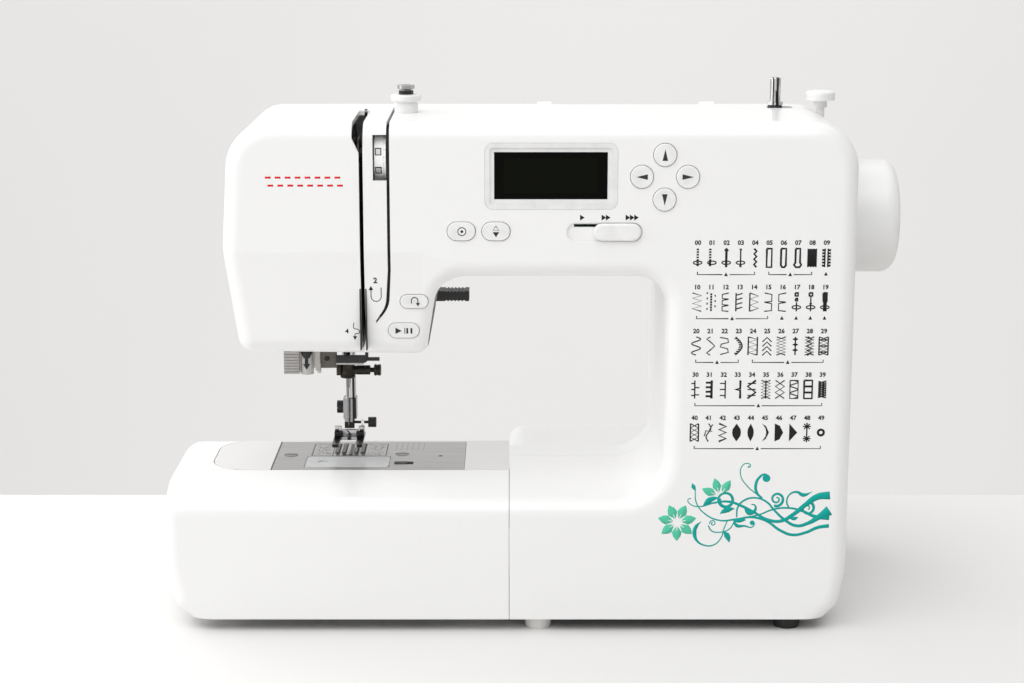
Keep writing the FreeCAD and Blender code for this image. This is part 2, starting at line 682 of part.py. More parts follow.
def feed_dog():
    parts = [box(-117, -97.5, 6, 30, BED_TOP - 11, BED_TOP - 8)]
    for x in FEED_ROWS:
        row = box(x - 0.9, x + 0.9, 8.2, 28, BED_TOP - 9, FEED_TOP)
        for n in range(12):
            y = 8.6 + 1.6 * n
            row = row.cut(box(x - 2, x + 2, y, y + 0.7, FEED_TOP - 0.6, FEED_TOP + 1))
        parts.append(row)
    parts.append(box(-110, -104, 14, 22, BED_TOP - 20, BED_TOP - 10.5))
    return fuse(parts)


def drop_lever():
    knob = box(DROP_X - 5, DROP_X + 1, ARM_REAR - WALL + 0.0, ARM_REAR + 2.5, 34, 38)
    plate = box(DROP_X - 7, DROP_X + 3, ARM_REAR - WALL - 1.6, ARM_REAR - WALL - 0.3, 31, 41)
    neck = box(DROP_X - 4, DROP_X, ARM_REAR - WALL - 1, ARM_REAR - WALL + 1, 34.5, 37.5)
    return fuse([plate, neck, knob])


def rotary_hook():
    z0, z1 = 52.0, BED_TOP - 8.0
    cup = cyl_z(z0, z1, HOOK_X, HOOK_Y, HOOK_R).cut(cyl_z(z0 + 2.4, z1 + 1, HOOK_X, HOOK_Y, HOOK_R - 1.4))
    cup = cup.cut(box(HOOK_X + 4, HOOK_X + 20, HOOK_Y + 2, HOOK_Y + 20, z1 - 6, z1 + 1))
    stem = cyl_z(27, z0 + 0.5, HOOK_X, HOOK_Y, 3)
    gear = cyl_z(30, 38, HOOK_X, HOOK_Y, 9)
    for n in range(18):
        turn = math.radians(20 * n)
        gear = gear.cut(cyl_z(29, 39, HOOK_X + 9.3 * math.cos(turn), HOOK_Y + 9.3 * math.sin(turn), 0.8))
    return fuse([cup, stem, gear])


def bobbin_case():
    z0, z1 = 54.8, BED_TOP - 7.2
    case = cyl_z(z0, z1, HOOK_X, HOOK_Y, HOOK_R - 1.8).cut(cyl_z(z0 + 1, z1 + 1, HOOK_X, HOOK_Y,
            BOBBIN_R + 0.35))
    arm = box(HOOK_X - 24, HOOK_X - 10.9, HOOK_Y - 3, HOOK_Y + 3, z1 - 0.0, z1 + 1.4)
    rim = cyl_z(z1 - 0.4, z1 + 1.4, HOOK_X, HOOK_Y, HOOK_R - 1.8).cut(
        cyl_z(z1 - 2, z1 + 3, HOOK_X, HOOK_Y, BOBBIN_R + 0.35))
    post = cyl_z(z0 + 0.5, z1 - 2, HOOK_X, HOOK_Y, 3)
    return fuse([case, rim, arm, post])


def bobbin():
    z0 = 56.2
    spool = cyl_z(z0, z0 + 1, HOOK_X, HOOK_Y, BOBBIN_R)
    upper = cyl_z(z0 + 9.6, z0 + 10.6, HOOK_X, HOOK_Y, BOBBIN_R)
    core = cyl_z(z0, z0 + 10.6, HOOK_X, HOOK_Y, 4.6)
    whole = fuse([spool, upper, core]).cut(cyl_z(z0 - 1, z0 + 12, HOOK_X, HOOK_Y, 3 + RUN))
    for n in range(6):
        turn = math.radians(60 * n)
        whole = whole.cut(cyl_z(z0 - 1, z0 + 12, HOOK_X + 7.4 * math.cos(turn),
                HOOK_Y + 7.4 * math.sin(turn), 0.9))
    return whole


def needle_bar_parts():
    x, y = NEEDLE_X, NEEDLE_Y
    bar = cyl_z(CLAMP_Z + 10, SHAFT_Z + 30, x, y, NEEDLE_R)
    driver = box(x - 6, x + 6, y - 7, y + 5, SHAFT_Z - 14, SHAFT_Z - 4).cut(cyl_z(0, 400, x, y,
            NEEDLE_R - 0.01))
    link = link_x(x + 6.2, x + 9.5, (y, SHAFT_Z - 9, 5), (y, SHAFT_Z + 10, 5))
    bar = fuse([bar, driver, link, cyl_x(x + 5.5, x + 7, y, SHAFT_Z - 9, 3)])
    clamp = cyl_z(CLAMP_Z, CLAMP_Z + 10, x, y, 4.4)
    hub = cyl_x(x + 3, x + 14, y, CLAMP_Z + 4.4, 2.6)
    grip = cyl_x(x + 15.4, x + 19.2, y, CLAMP_Z + 4.4, 3.4)
    neck = cyl_x(x + 12, x + 16, y, CLAMP_Z + 4.4, 1.5)
    clamp = fuse([clamp, hub, neck, grip]).cut(cyl_z(CLAMP_Z - 1, CLAMP_Z + 8, x, y, 1.05))
    needle = fuse([cyl_z(CLAMP_Z - 6, CLAMP_Z + 7.5, x, y, 1.0), cyl_z(NEEDLE_TIP + 5, CLAMP_Z - 5.5, x,
            y, 0.5),
                   cone_z(NEEDLE_TIP, NEEDLE_TIP + 5.1, x, y, 0.08, 0.5)])
    needle = needle.cut(box(x - 0.22, x + 0.22, y - 2, y + 2, NEEDLE_TIP + 4.5, NEEDLE_TIP + 6.2))
    return bar, clamp, needle


def take_up_lever():
    x0, x1 = SLOT_L - 0.75, SLOT_L + 0.75
    pivot = (-20, HEAD_TOP - 43, 4.5)
    tip = (-40, HEAD_TOP + 0.4, 1.9)
    blade = link_x(x0, x1, pivot, tip)
    boss = cyl_x(SLOT_L - 8, SLOT_L + 4, pivot[0], pivot[1], 3.2)
    return fuse([blade, boss]).cut(cyl_x(x0 - 1, x1 + 1, tip[0], tip[1], 0.8))


def presser_parts():
    x, y = PRESSER_X, PRESSER_Y
    bar = cyl_z(SOLE_Z + 18, SHAFT_Z + 40, x, y, PRESSER_R)
    block = box(x - 4, x + 14, y - 4, y + 4, SHAFT_Z - 22, SHAFT_Z - 14).cut(cyl_z(0, 400, NEEDLE_X,
            NEEDLE_Y, 8.5))
    bar = fuse([bar, block])
    holder = box(x - 4.4, x + 3.4, y - 4.2, y + 4.6, SOLE_Z + 12, SOLE_Z + 24)
    holder = holder.cut(cyl_z(SOLE_Z + 18, SOLE_Z + 30, x, y, PRESSER_R + 0.02))
    ankle = box(x - 3.8, x + 1.9, y - 3.6, y + 3.4, SOLE_Z + 7.6, SOLE_Z + 12.2)
    ear = box(x - 3.8, x + 1.9, y - 3.6, y - 1.6, SOLE_Z + 6.2, SOLE_Z + 8)
    screw = cyl_x(x - 8.2, x - 4.6, y, SOLE_Z + 18.3, 3.7)
    screw = screw.cut(box(x - 9, x - 7.4, y - 5, y + 5, SOLE_Z + 17.8, SOLE_Z + 18.8))
    neck = cyl_x(x - 5.2, x - 3.6, y, SOLE_Z + 18.3, 1.6)
    rod = cyl_x(x + 1.5, x + 9.8, y, SOLE_Z + 9.0, 0.8)
    knob = cyl_x(x + 9.8, x + 14.4, y, SOLE_Z + 9.0, 3.0)
    return bar, fuse([holder, ankle, ear]), fuse([screw, neck, rod, knob])


def presser_foot():
    x = NEEDLE_X
    y0, y1 = -11.0, 19.0
    outline = [(x - 8.8, y0, 1.5), (x - 4.6, y0, 1.5), (x - 4.6, NEEDLE_Y + 1.6, 1), (x + 4.6,
            NEEDLE_Y + 1.6, 1),
               (x + 4.6, y0, 1.5), (x + 8.8, y0, 1.5), (x + 8.8, y1, 2), (x - 8.8, y1, 2)]
    sole = prism_z(outline, SOLE_Z, SOLE_Z + 1.8)
    cheeks = []
    for side in (-1, 1):
        cheek = box(x + side * 7.3 - 1.1, x + side * 7.3 + 1.1, 7, 17, SOLE_Z + 1.5, SOLE_Z + 5.6)
        cheeks.append(cheek)
    pin = cyl_x(x - 7.4, x + 7.4, PRESSER_Y - 1, SOLE_Z + 4.2, 0.9)
    return fuse([sole, pin] + cheeks)


def presser_lifter():
    x, z = LIFTER_X, LIFTER_Z
    hub = cyl_y(21.5, ARM_BACK + 7.5, x, z, LIFTER_R)
    arm = prism_y([(x - 2, z - 4.5, 2), (x + 34, z - 8, 2), (x + 34, z - 3, 2), (x - 2, z + 4.5, 2)],
                  ARM_BACK + 2.5, ARM_BACK + 7.5)
    handle = box(x + 32, x + 54.4, ARM_BACK + 2.5, ARM_BACK + 15, z - 8, z - 2)
    for n in range(6):
        for edge_z in (z - 8, z - 2):
            handle = handle.cut(cyl_y(ARM_BACK, ARM_BACK + 20, x + 51.4 - 2.07 * n, edge_z, 0.6))
    nose = box(x + 1, x + 7, 21.5, 25.5, z, z + 4)
    return fuse([hub, arm, handle, nose])


def threader():
    x, y = -130.2, 0.0
    knob = cyl_z(CLAMP_Z + 3.3, HEAD_BOTTOM + 8, x, y, 3.8)
    plate = box(x + 3, x + 14.2, y - 1.2, y + 1.2, CLAMP_Z + 6.7, HEAD_BOTTOM + 6)
    tab = box(x + 6.2, x + 8.2, y - 4.2, y - 1, CLAMP_Z + 4.4, CLAMP_Z + 10)
    bar = box(x + 3, x + 8, y - 1.2, y + 6, HEAD_BOTTOM - 1, HEAD_BOTTOM + 22)
    return fuse([knob, plate, tab, bar])


def buttonhole_lever():
    x0, x1 = -143.2, -134.4
    lever = box(x0, x1, -4, 3, CLAMP_Z + 3.8, HEAD_BOTTOM + 10)
    for n in range(7):
        z = CLAMP_Z + 4.8 + 1.7 * n
        lever = lever.cut(box(x0 - 1, x1 + 1, -5, -3.6, z, z + 0.6))
    return fuse([lever, box(x0 + 1, x1 - 1, -1, 6, HEAD_BOTTOM + 8, HEAD_BOTTOM + 24)])


def handwheel():
    y, z = SHAFT_Y, SHAFT_Z
    x0 = WHEEL_RIGHT - WHEEL_W
    wheel = cyl_x(x0, WHEEL_RIGHT, y, z, WHEEL_R)
    rim = [e for e in wheel.Edges if abs(e.BoundBox.XMin - WHEEL_RIGHT) < 1e-3 and e.BoundBox.ZMax > z + 5]
    wheel = wheel.makeFillet(8, rim)
    back = [e for e in wheel.Edges if abs(e.BoundBox.XMax - x0) < 1e-3 and e.BoundBox.ZMax > z + 5]
    wheel = wheel.makeFillet(1.5, back)
    dish = cyl_x(WHEEL_RIGHT - 2.5, WHEEL_RIGHT + 1, y, z, WHEEL_R - 13)
    hollow = cyl_x(x0 - 1, x0 + 18, y, z, WHEEL_R - 4).cut(cyl_x(x0 - 2, x0 + 19, y, z, 12))
    hub = cyl_x(COLUMN_RIGHT + 1.2, x0 + 1, y, z, 12)
    return fuse([wheel.cut(dish).cut(hollow), hub]).cut(cyl_x(x0 - 20, x0 + 20, y, z, SHAFT_R + 0.01))


def pulley(x0, x1, y, z, r):
    flanges = [cyl_x(x0 - 1.2, x0 - 0.2, y, z, r + 1.2), cyl_x(x1 + 0.2, x1 + 1.2, y, z, r + 1.2)]
    return fuse([cyl_x(x0 - 1, x1 + 1, y, z, r)] + flanges)


def upper_shaft():
    y, z = SHAFT_Y, SHAFT_Z
    shaft = cyl_x(-90, WHEEL_RIGHT - WHEEL_W + 18, y, z, SHAFT_R)
    parts = [shaft, pulley(BELT_X, BELT_X + BELT_W, y, z, BIG_PULLEY_R)]
    parts.append(pulley(TIMING_X, TIMING_X + BELT_W, y, z, TIMING_R))
    parts.append(link_x(-90, -84, (y, z - 8, 10), (y, z + 8, 6)))
    parts.append(cyl_x(-96, -89, y, z + 10, 2.5))
    return fuse(parts)


def lower_shaft():
    y, z = LOWER_Y, LOWER_Z
    shaft = cyl_x(-118, TIMING_X + 9, y, z, LOWER_R)
    gear = cyl_x(HOOK_X - 4, HOOK_X + 4, y, z, 9.2)
    for n in range(18):
        turn = math.radians(20 * n)
        gear = gear.cut(cyl_x(HOOK_X - 5, HOOK_X + 5, y + 9.5 * math.cos(turn), z + 9.5 * math.sin(turn),
                0.8))
    return fuse([shaft, gear, pulley(TIMING_X, TIMING_X + BELT_W, y, z, TIMING_R)])


def belts():
    drive = belt(BELT_X + 0.4, BELT_X + BELT_W - 0.4, (SHAFT_Y, SHAFT_Z, BIG_PULLEY_R + GAP),
                 (MOTOR_Y, MOTOR_Z, SMALL_PULLEY_R + GAP), BELT_T)
    timing = belt(TIMING_X + 0.4, TIMING_X + BELT_W - 0.4, (SHAFT_Y, SHAFT_Z, TIMING_R + GAP),
                  (LOWER_Y, LOWER_Z, TIMING_R + GAP + 0.001), BELT_T)
    return drive, timing


def motor_parts():
    y, z = MOTOR_Y, MOTOR_Z
    can = cyl_x(BELT_X - 61, BELT_X - 9, y, z, MOTOR_R)
    cap = cyl_x(BELT_X - 9.5, BELT_X - 7, y, z, MOTOR_R - 5)
    foot = box(BELT_X - 55, BELT_X - 13, y - 12, y + 12, FOOT_H + 3.5, z)
    body = fuse([can, cap, foot]).cut(cyl_x(BELT_X - 45, BELT_X, y, z, 2.5 + RUN))
    shaft = cyl_x(BELT_X - 43, BELT_X + BELT_W + 2, y, z, 2.5)
    rotor = fuse([pulley(BELT_X, BELT_X + BELT_W, y, z, SMALL_PULLEY_R), shaft])
    return body, rotor


def extension_outline(inset, left):
    i = inset
    z = TABLE_CORNER_Z + 0.45 * i
    foot = left + TABLE_TAPER_IN + i
    return [
        (0, BELOW, 0),
        (0, BED_TOP - i, 0),
        (left + i, BED_TOP - i, 10 - i),
        (left + i, TABLE_TAPER_Z, 50),
        (foot, z, CORNER_R),
        (foot + TABLE_SLOPE * (z - BELOW), BELOW, 0),
    ]


def lid_block(inset):
    # the table's front part; its left side runs outwards towards the back
    y0 = FRONT_Y + inset
    depth = LID_BACK + (1 if inset else 0) - y0
    outline = extension_outline(inset, TABLE_LEFT - FLARE * inset)
    block = Part.Face(rounded(outline, y0)).extrude(V(-FLARE * depth, depth, 0))
    edges = []
    for e in face_edges(block, -1):
        if e.BoundBox.ZMax > FOOT_H + 1 and e.BoundBox.XMin < -1:
            edges.append(e)
    block = block.makeFillet(EDGE_R - inset, edges).Solids[0]
    return block.common(box(-400, SEAM_X - GAP - inset, -200, 200, FOOT_H, 200))


def storage_lid():
    lid = lid_block(0).cut(lid_block(LID_WALL))
    parts = [lid]
    for x in LUGS:
        parts.append(box(x + 6.6, x + 11, FRONT_Y + 1.5, HINGE_Y + 2, HINGE_Z - 2, HINGE_Z + 2))
        parts.append(cyl_x(x, x + 8, HINGE_Y, HINGE_Z, PIN_R))
    return fuse(parts)


def table_side(inset):
    # the part of the table left of the free arm, following the arm's rounded corners
    i = inset
    y0, y1 = LID_BACK + 0.4 + i, ARM_REAR - 1.5 - i
    left, right = TABLE_LEFT - FLARE * (LID_BACK - FRONT_Y), ARM_LEFT + 0.7 * ARM_CORNER_R
    x0 = left + i
    plan = prism_z([(x0, y0, 0), (right, y0, 0), (right, y1, 0), (x0, y1, TABLE_REAR_R - i)], FOOT_H, 200)
    block = prism_y(extension_outline(i, left), y0, y1).common(plan)
    return block.cut(arm_block(0.5 + i, 0, -100, 200))


def extension_table():
    x0 = TABLE_LEFT + LID_WALL + 16
    x1 = SEAM_X - GAP - LID_WALL - 0.6
    y1 = LID_BACK - 0.4
    z1 = BED_TOP - LID_WALL - 0.6
    floor = FOOT_H + 0.4
    tray = box(x0, x1, HINGE_Y + 8, y1, floor, z1 - 22)
    tray = tray.fuse(box(x0, x1, y1 - 6, y1, floor, z1))
    tray = tray.cut(box(x0 + 2, x1 - 2, HINGE_Y + 10, y1 - 2, floor + 2.2, z1 + 9))
    side = table_side(0).cut(table_side(LID_WALL))
    shelf = box(ARM_LEFT - 4, SEAM_X - 12, y1 - 1, ARM_REAR - 2, floor, floor + 2.4)
    parts = [tray, side, shelf]
    for x in LUGS:
        arm = box(x + 1, x + 6, HINGE_Y, HINGE_Y + 9, HINGE_Z - 2.2, HINGE_Z + 2.2)
        parts.append(arm.fuse(cyl_x(x + 1, x + 6, HINGE_Y, HINGE_Z, 2.2)))
    table = fuse(parts)
    for x in LUGS:
        table = table.cut(cyl_x(x - 3, x + 8, HINGE_Y, HINGE_Z, PIN_R + RUN))
    return biggest(table)


def winder_parts():
    x, y = WINDER_X, WINDER_Y
    under = HEAD_TOP - WALL
    arm = box(x - 12, x + 8, y - 7, y + 7, under - 6, under - 1)
    hub = cyl_z(under - 6, under + 3.6, x, y, 4.0)
    arm = fuse([arm, hub]).cut(cyl_z(under - 9, under + 9, x, y, 2.0 + RUN))
    post = cyl_z(HEAD_TOP + 1.6, HEAD_TOP + 16.5, x, y, 2.95)
    post = post.makeFillet(0.8, [e for e in post.Edges if e.BoundBox.ZMin > HEAD_TOP + 16])
    slot = box(x - 0.5, x + 0.5, y - 4, y + 4, HEAD_TOP + 9, HEAD_TOP + 20)
    spindle = fuse([post, cyl_z(under - 12, HEAD_TOP + 2, x, y, 2.0), cyl_z(HEAD_TOP + 1.5, HEAD_TOP + 3,
            x, y, 4.4)])
    wheel = cyl_z(under - 12, under - 7, x, y, 9)
    return arm, fuse([spindle.cut(slot), wheel])


def winder_stop():
    x, y = STOP_X, WINDER_Y
    cap = cyl_z(HEAD_TOP + 4.1, HEAD_TOP + 9.1, x, y, 8)
    cap = cap.makeFillet(1.6,
            [e for e in cap.Edges if e.BoundBox.ZMin > HEAD_TOP + 9 and e.BoundBox.XMax > x + 7])
    return fuse([cap, cyl_z(HEAD_TOP + 0.05, HEAD_TOP + 4.5, x, y, 3.75), cyl_z(HEAD_TOP - 6,
            HEAD_TOP + 1, x, y, 2.4)])


def bobbin_guide():
    x, y = GUIDE_X, GUIDE_Y
    post = cyl_z(HEAD_TOP + 0.05, HEAD_TOP + 7, x, y, 6.4)
    lip = cyl_z(HEAD_TOP + 6, HEAD_TOP + 9.8, x, y, 8.25)
    lip = lip.makeFillet(1.2,
            [e for e in lip.Edges if e.BoundBox.XMax > x + 8 and e.BoundBox.ZMax - e.BoundBox.ZMin < 1e-3])
    guide = fuse([post, lip, cyl_z(HEAD_TOP - 5, HEAD_TOP + 1, x, y, 2.9)])
    guide = guide.cut(cyl_z(HEAD_TOP + 4, HEAD_TOP + 20, x, y, 1.2))
    pin = [cyl_z(HEAD_TOP + 4.2, HEAD_TOP + 14.8, x, y, 1.15), cyl_z(HEAD_TOP + 9.9, HEAD_TOP + 11.9, x,
            y, 4.0)]
    pin.append(cone_z(HEAD_TOP + 12.3, HEAD_TOP + 12.9, x, y, 2.6, 4.65))
    pin.append(cyl_z(HEAD_TOP + 12.9, HEAD_TOP + 14.8, x, y, 4.65))
    pin.append(cyl_z(HEAD_TOP + 11.8, HEAD_TOP + 12.4, x, y, 2.6))
    return guide, fuse(pin)


def carrying_handle():
    pivot = (HANDLE_Y, HEAD_TOP - HANDLE_DROP, HANDLE_R)
    grip = (ARM_BACK - 7, HEAD_TOP - 56.5, GRIP_R)
    arms = [link_x(HANDLE_X0, HANDLE_X0 + 8, pivot, grip), link_x(HANDLE_X1 - 8, HANDLE_X1, pivot, grip)]
    bar = cyl_x(HANDLE_X0 + 1, HANDLE_X1 - 1, grip[0], grip[1], grip[2])
    pins = []
    for x0, x1 in ((HANDLE_X0 - GAP - 1.8, HANDLE_X0 + 1), (HANDLE_X1 - 1, HANDLE_X1 + GAP + 1.8)):
        pins.append(cyl_x(x0, x1, pivot[0], pivot[1], HANDLE_PIN_R))
    return fuse(arms + [bar] + pins)


def spool_pin():
    x, y, seat = SPOOL_X, SPOOL_Y, SPOOL_Z + 0.05
    pin = cyl_z(seat, seat + 58, x, y, SPOOL_PIN_R)
    pin = pin.makeFillet(1.2, [e for e in pin.Edges if e.BoundBox.ZMin > seat + 57])
    return fuse([pin, cyl_z(seat - 12, seat + 1, x, y, SPOOL_SHANK_R), cyl_z(seat, seat + 1.6, x, y, 9)])


def power_parts():
    x1 = COLUMN_RIGHT - 2.5
    inlet = box(x1 - 18, x1 - 1.0, 20.5, 38, 24, 58)
    inlet = inlet.cut(box(x1 - 12, x1 + 5, 23, 35.5, 28, 54))
    pins = [cyl_x(x1 - 13, x1 - 3, 29, 35 + 12 * n, 1.2) for n in range(2)]
    frame = box(x1 - 18, x1 - 1.0, 38, 56, 24, 58).cut(box(x1 - 12, x1 + 5, 40.5, 53.5, 29, 53))
    socket = fuse([inlet, frame] + pins)
    switch = box(x1 - 9, x1 + 0.2, 41.2, 52.8, 30, 52)
    bump = cyl_y(41.2, 52.8, x1 - 3.6, 41, 5.5)
    rocker = switch.common(cyl_y(40, 54, x1 - 12, 41, 12.5)).fuse(bump.common(switch))
    return socket, rocker.removeSplitter()


def lamp():
    x, y = -78.0, -8.0
    housing = box(x - 7, x + 9, y - 7, y + 7, HEAD_BOTTOM + 6, HEAD_BOTTOM + 14)
    return fuse([housing, cyl_z(HEAD_BOTTOM + 3.2, HEAD_BOTTOM + 7, x, y, 4)])


def export(name, shape):
    shape.exportStep(os.path.join("parts", name + ".step"))


def body_nodes():
    front, face, rear = cover_parts()
    bezel, window = display_parts()
    guide, discs = bobbin_guide()
    drive, timing = belts()
    motor, rotor = motor_parts()
    socket, rocker = power_parts()
    return {
        "front_cover": front, "face_cover": face, "rear_cover": rear,
        "free_arm_cover": free_arm_cover(), "base_plate": base_plate(), "main_frame": main_frame(),
        "display_bezel": bezel, "display_window": window, "control_board": control_board(),
        "tension_unit": tension_unit(), "needle_plate": needle_plate(), "plate_screws": plate_screws(),
        "bobbin_guide": guide, "guide_discs": discs, "winder_stop": winder_stop(),
        "rubber_feet": rubber_feet(), "motor": motor, "motor_pulley": rotor, "drive_belt": drive,
        "timing_belt": timing, "power_socket": socket, "power_switch": rocker, "lamp": lamp(),
        "bobbin_case": bobbin_case(), "spool_pin": spool_pin(),
    }


def moving_nodes():
    bar, clamp, needle = needle_bar_parts()
    presser, holder, foot_screw = presser_parts()
    arm, spindle = winder_parts()
    nodes = {
        "handwheel": handwheel(), "upper_shaft": upper_shaft(), "lower_shaft": lower_shaft(),
        "rotary_hook": rotary_hook(), "bobbin": bobbin(), "needle_bar": bar, "needle_clamp": clamp,
        "needle": needle, "take_up_lever": take_up_lever(), "presser_bar": presser, "foot_holder": holder,
        "foot_screw": foot_screw, "presser_foot": presser_foot(), "presser_lifter": presser_lifter(),
        "threader": threader(), "buttonhole_lever": buttonhole_lever(), "tension_dial": tension_dial(),
        "speed_slider": speed_slider(), "extension_table": extension_table(), "storage_lid": storage_lid(),
        "winder_arm": arm, "winder_spindle": spindle, "carrying_handle": carrying_handle(),
        "hook_cover": hook_cover(), "cover_release": cover_release(), "feed_dog": feed_dog(),
        "drop_lever": drop_lever(),
    }
    for name, place in KEYS.items():
        nodes[name] = key(*place)
    for name, place in PILLS.items():
        nodes[name] = pill(*place)
    return nodes


def main():
    os.makedirs("parts", exist_ok=True)
    for group in (body_nodes(), moving_nodes()):
        for name, shape in group.items():
            export(name, shape)
            b = shape.BoundBox
            print("%-18s %s solids %d  X %.1f %.1f  Y %.1f %.1f  Z %.1f %.1f" % (
                name, shape.isValid(), len(shape.Solids), b.XMin, b.XMax, b.YMin, b.YMax, b.ZMin, b.ZMax))


main()
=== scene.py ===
import bpy
import json
import math
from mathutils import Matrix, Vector


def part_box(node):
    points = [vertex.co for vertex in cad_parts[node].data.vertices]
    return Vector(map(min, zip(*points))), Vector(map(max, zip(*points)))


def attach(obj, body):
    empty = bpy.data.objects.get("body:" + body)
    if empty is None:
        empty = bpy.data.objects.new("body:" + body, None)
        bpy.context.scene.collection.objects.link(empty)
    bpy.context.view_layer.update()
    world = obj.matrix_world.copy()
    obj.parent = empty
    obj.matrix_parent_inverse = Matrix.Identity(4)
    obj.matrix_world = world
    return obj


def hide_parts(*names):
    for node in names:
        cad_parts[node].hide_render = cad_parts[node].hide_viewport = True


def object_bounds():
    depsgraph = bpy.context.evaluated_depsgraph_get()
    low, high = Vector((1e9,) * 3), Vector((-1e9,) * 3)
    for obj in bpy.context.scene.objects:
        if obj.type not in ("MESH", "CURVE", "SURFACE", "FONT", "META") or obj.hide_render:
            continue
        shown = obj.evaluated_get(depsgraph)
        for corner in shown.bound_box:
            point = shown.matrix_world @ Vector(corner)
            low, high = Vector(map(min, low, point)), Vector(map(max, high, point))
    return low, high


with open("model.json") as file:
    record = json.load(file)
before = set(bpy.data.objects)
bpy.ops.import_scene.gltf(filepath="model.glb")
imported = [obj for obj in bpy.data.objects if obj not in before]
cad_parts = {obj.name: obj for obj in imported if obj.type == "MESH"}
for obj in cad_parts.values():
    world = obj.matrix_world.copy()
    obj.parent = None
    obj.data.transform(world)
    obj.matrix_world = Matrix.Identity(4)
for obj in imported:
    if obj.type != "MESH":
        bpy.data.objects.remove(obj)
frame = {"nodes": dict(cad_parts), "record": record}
cad_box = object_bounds()
MM = 0.001
NEEDLE_X, PRESSER_X, WINDER_X = -107.2, -106.2, 133.8    # middles of the upright rods, in mm

# ---------------------------------------------------------------- shader maths


class Value:
    """One socket of a node tree; an expression on values adds the Math nodes it needs."""

    def __init__(self, shader, socket):
        self.shader = shader
        self.socket = socket

    def math(self, operation, other=None, clamp=False):
        inputs = {0: self} if other is None else {0: self, 1: other}
        return self.shader.node("ShaderNodeMath", {"operation": operation, "use_clamp": clamp}, inputs)

    def __add__(self, other):
        return self.math("ADD", other)

    def __sub__(self, other):
        return self.math("SUBTRACT", other)

    def __rsub__(self, other):
        return self.shader.number(other).math("SUBTRACT", self)

    def __mul__(self, other):
        return self.math("MULTIPLY", other)

    def __gt__(self, other):
        return self.math("GREATER_THAN", other)

    def __lt__(self, other):
        return self.math("LESS_THAN", other)

    __radd__ = __add__
    __rmul__ = __mul__

    def clamp(self):
        return self.math("ADD", 0.0, clamp=True)

    def absolute(self):
        return self.math("ABSOLUTE")

    def fraction(self):
        return self.math("FRACT")

    def between(self, low, high):
        return (self > low) * (self < high)

    def smooth(self, low, high):
        inputs = {"Value": self, "From Min": low, "From Max": high}
        return self.shader.node("ShaderNodeMapRange", {"interpolation_type": "SMOOTHSTEP"}, inputs)


class Shader:
    """One procedural finish. Constants go on the surface's own sockets, maps only where they vary."""

    def __init__(self, name):
        self.material = bpy.data.materials.new(name)
        self.material.use_nodes = True
        self.tree = self.material.node_tree
        self.tree.nodes.clear()
        self.output = self.tree.nodes.new("ShaderNodeOutputMaterial")
        self.surface = self.tree.nodes.new("ShaderNodeBsdfPrincipled")
        self.tree.links.new(self.surface.outputs[0], self.output.inputs["Surface"])
        self.place = self.node("ShaderNodeTexCoord", {}, {}, "Object")

    def put(self, socket, value):
        if isinstance(value, Value):
            self.tree.links.new(value.socket, socket)
        else:
            socket.default_value = value

    def node(self, kind, settings, inputs, output=0):
        made = self.tree.nodes.new(kind)
        for name, value in settings.items():
            setattr(made, name, value)
        for name, value in inputs.items():
            self.put(made.inputs[name], value)
        return Value(self, made.outputs[output])

    def number(self, value):
        return self.node("ShaderNodeMath", {"operation": "ADD"}, {0: value, 1: 0.0})

    def stretched(self, scale):
        return self.node("ShaderNodeMapping", {}, {"Vector": self.place, "Scale": scale})

    def noise(self, scale, detail=3.0, roughness=0.5, where=None):
        inputs = {"Vector": where or self.place, "Scale": scale, "Detail": detail, "Roughness": roughness}
        return self.node("ShaderNodeTexNoise", {}, inputs)

    def mm(self, letter):
        # the place along one axis, in mm
        return self.node("ShaderNodeSeparateXYZ", {}, {0: self.place}, letter) * (1 / MM)

    def blend(self, amount, low, high):
        made = self.tree.nodes.new("ShaderNodeMix")
        made.data_type = "RGBA"
        self.put(made.inputs[0], amount)
        self.put(made.inputs[6], (*low, 1) if isinstance(low, tuple) else low)
        self.put(made.inputs[7], (*high, 1) if isinstance(high, tuple) else high)
        return Value(self, made.outputs[2])

    def relief(self, height, distance, strength):
        return self.node("ShaderNodeBump", {}, {"Height": height, "Distance": distance, "Strength": strength})

    def finish(self, **sockets):
        for name, value in sockets.items():
            socket = self.surface.inputs[name.replace("_", " ")]
            if isinstance(value, tuple) and len(value) == 3:
                value = (*value, 1)
            self.put(socket, value)
        return self.material


# ---------------------------------------------------------------- finishes


def times(tone, share):
    return tuple(c * share for c in tone)


def moulded_white(name, tone, rough):
    # glossy moulded housing: faint flow marks, the finest orange peel, a little handling haze
    s = Shader(name)
    flow = s.noise(9.0, 2.0)
    peel = s.noise(1500.0, 1.0)
    haze = s.noise(38.0, 4.0)
    shade = tuple(c * dim for c, dim in zip(tone, (0.993, 0.992, 0.99)))
    colour = s.blend(flow.smooth(0.2, 0.8), tone, shade)
    gloss = rough + haze.smooth(0.3, 0.8) * 0.025
    return s.finish(Base_Color=colour, Roughness=gloss, Normal=s.relief(peel, 0.00002, 0.12),
                    Coat_Weight=0.12, Coat_Roughness=0.15, IOR=1.45)


def satin_plastic(name, tone, rough=0.45, grain=900.0, depth=0.00003):
    s = Shader(name)
    cloud = s.noise(120.0, 3.0)
    texture = s.noise(grain, 2.0)
    colour = s.blend(cloud.smooth(0.3, 0.75), tone, times(tone, 0.9))
    return s.finish(Base_Color=colour, Roughness=rough + texture * 0.08,
                    Normal=s.relief(texture, depth, 0.5))


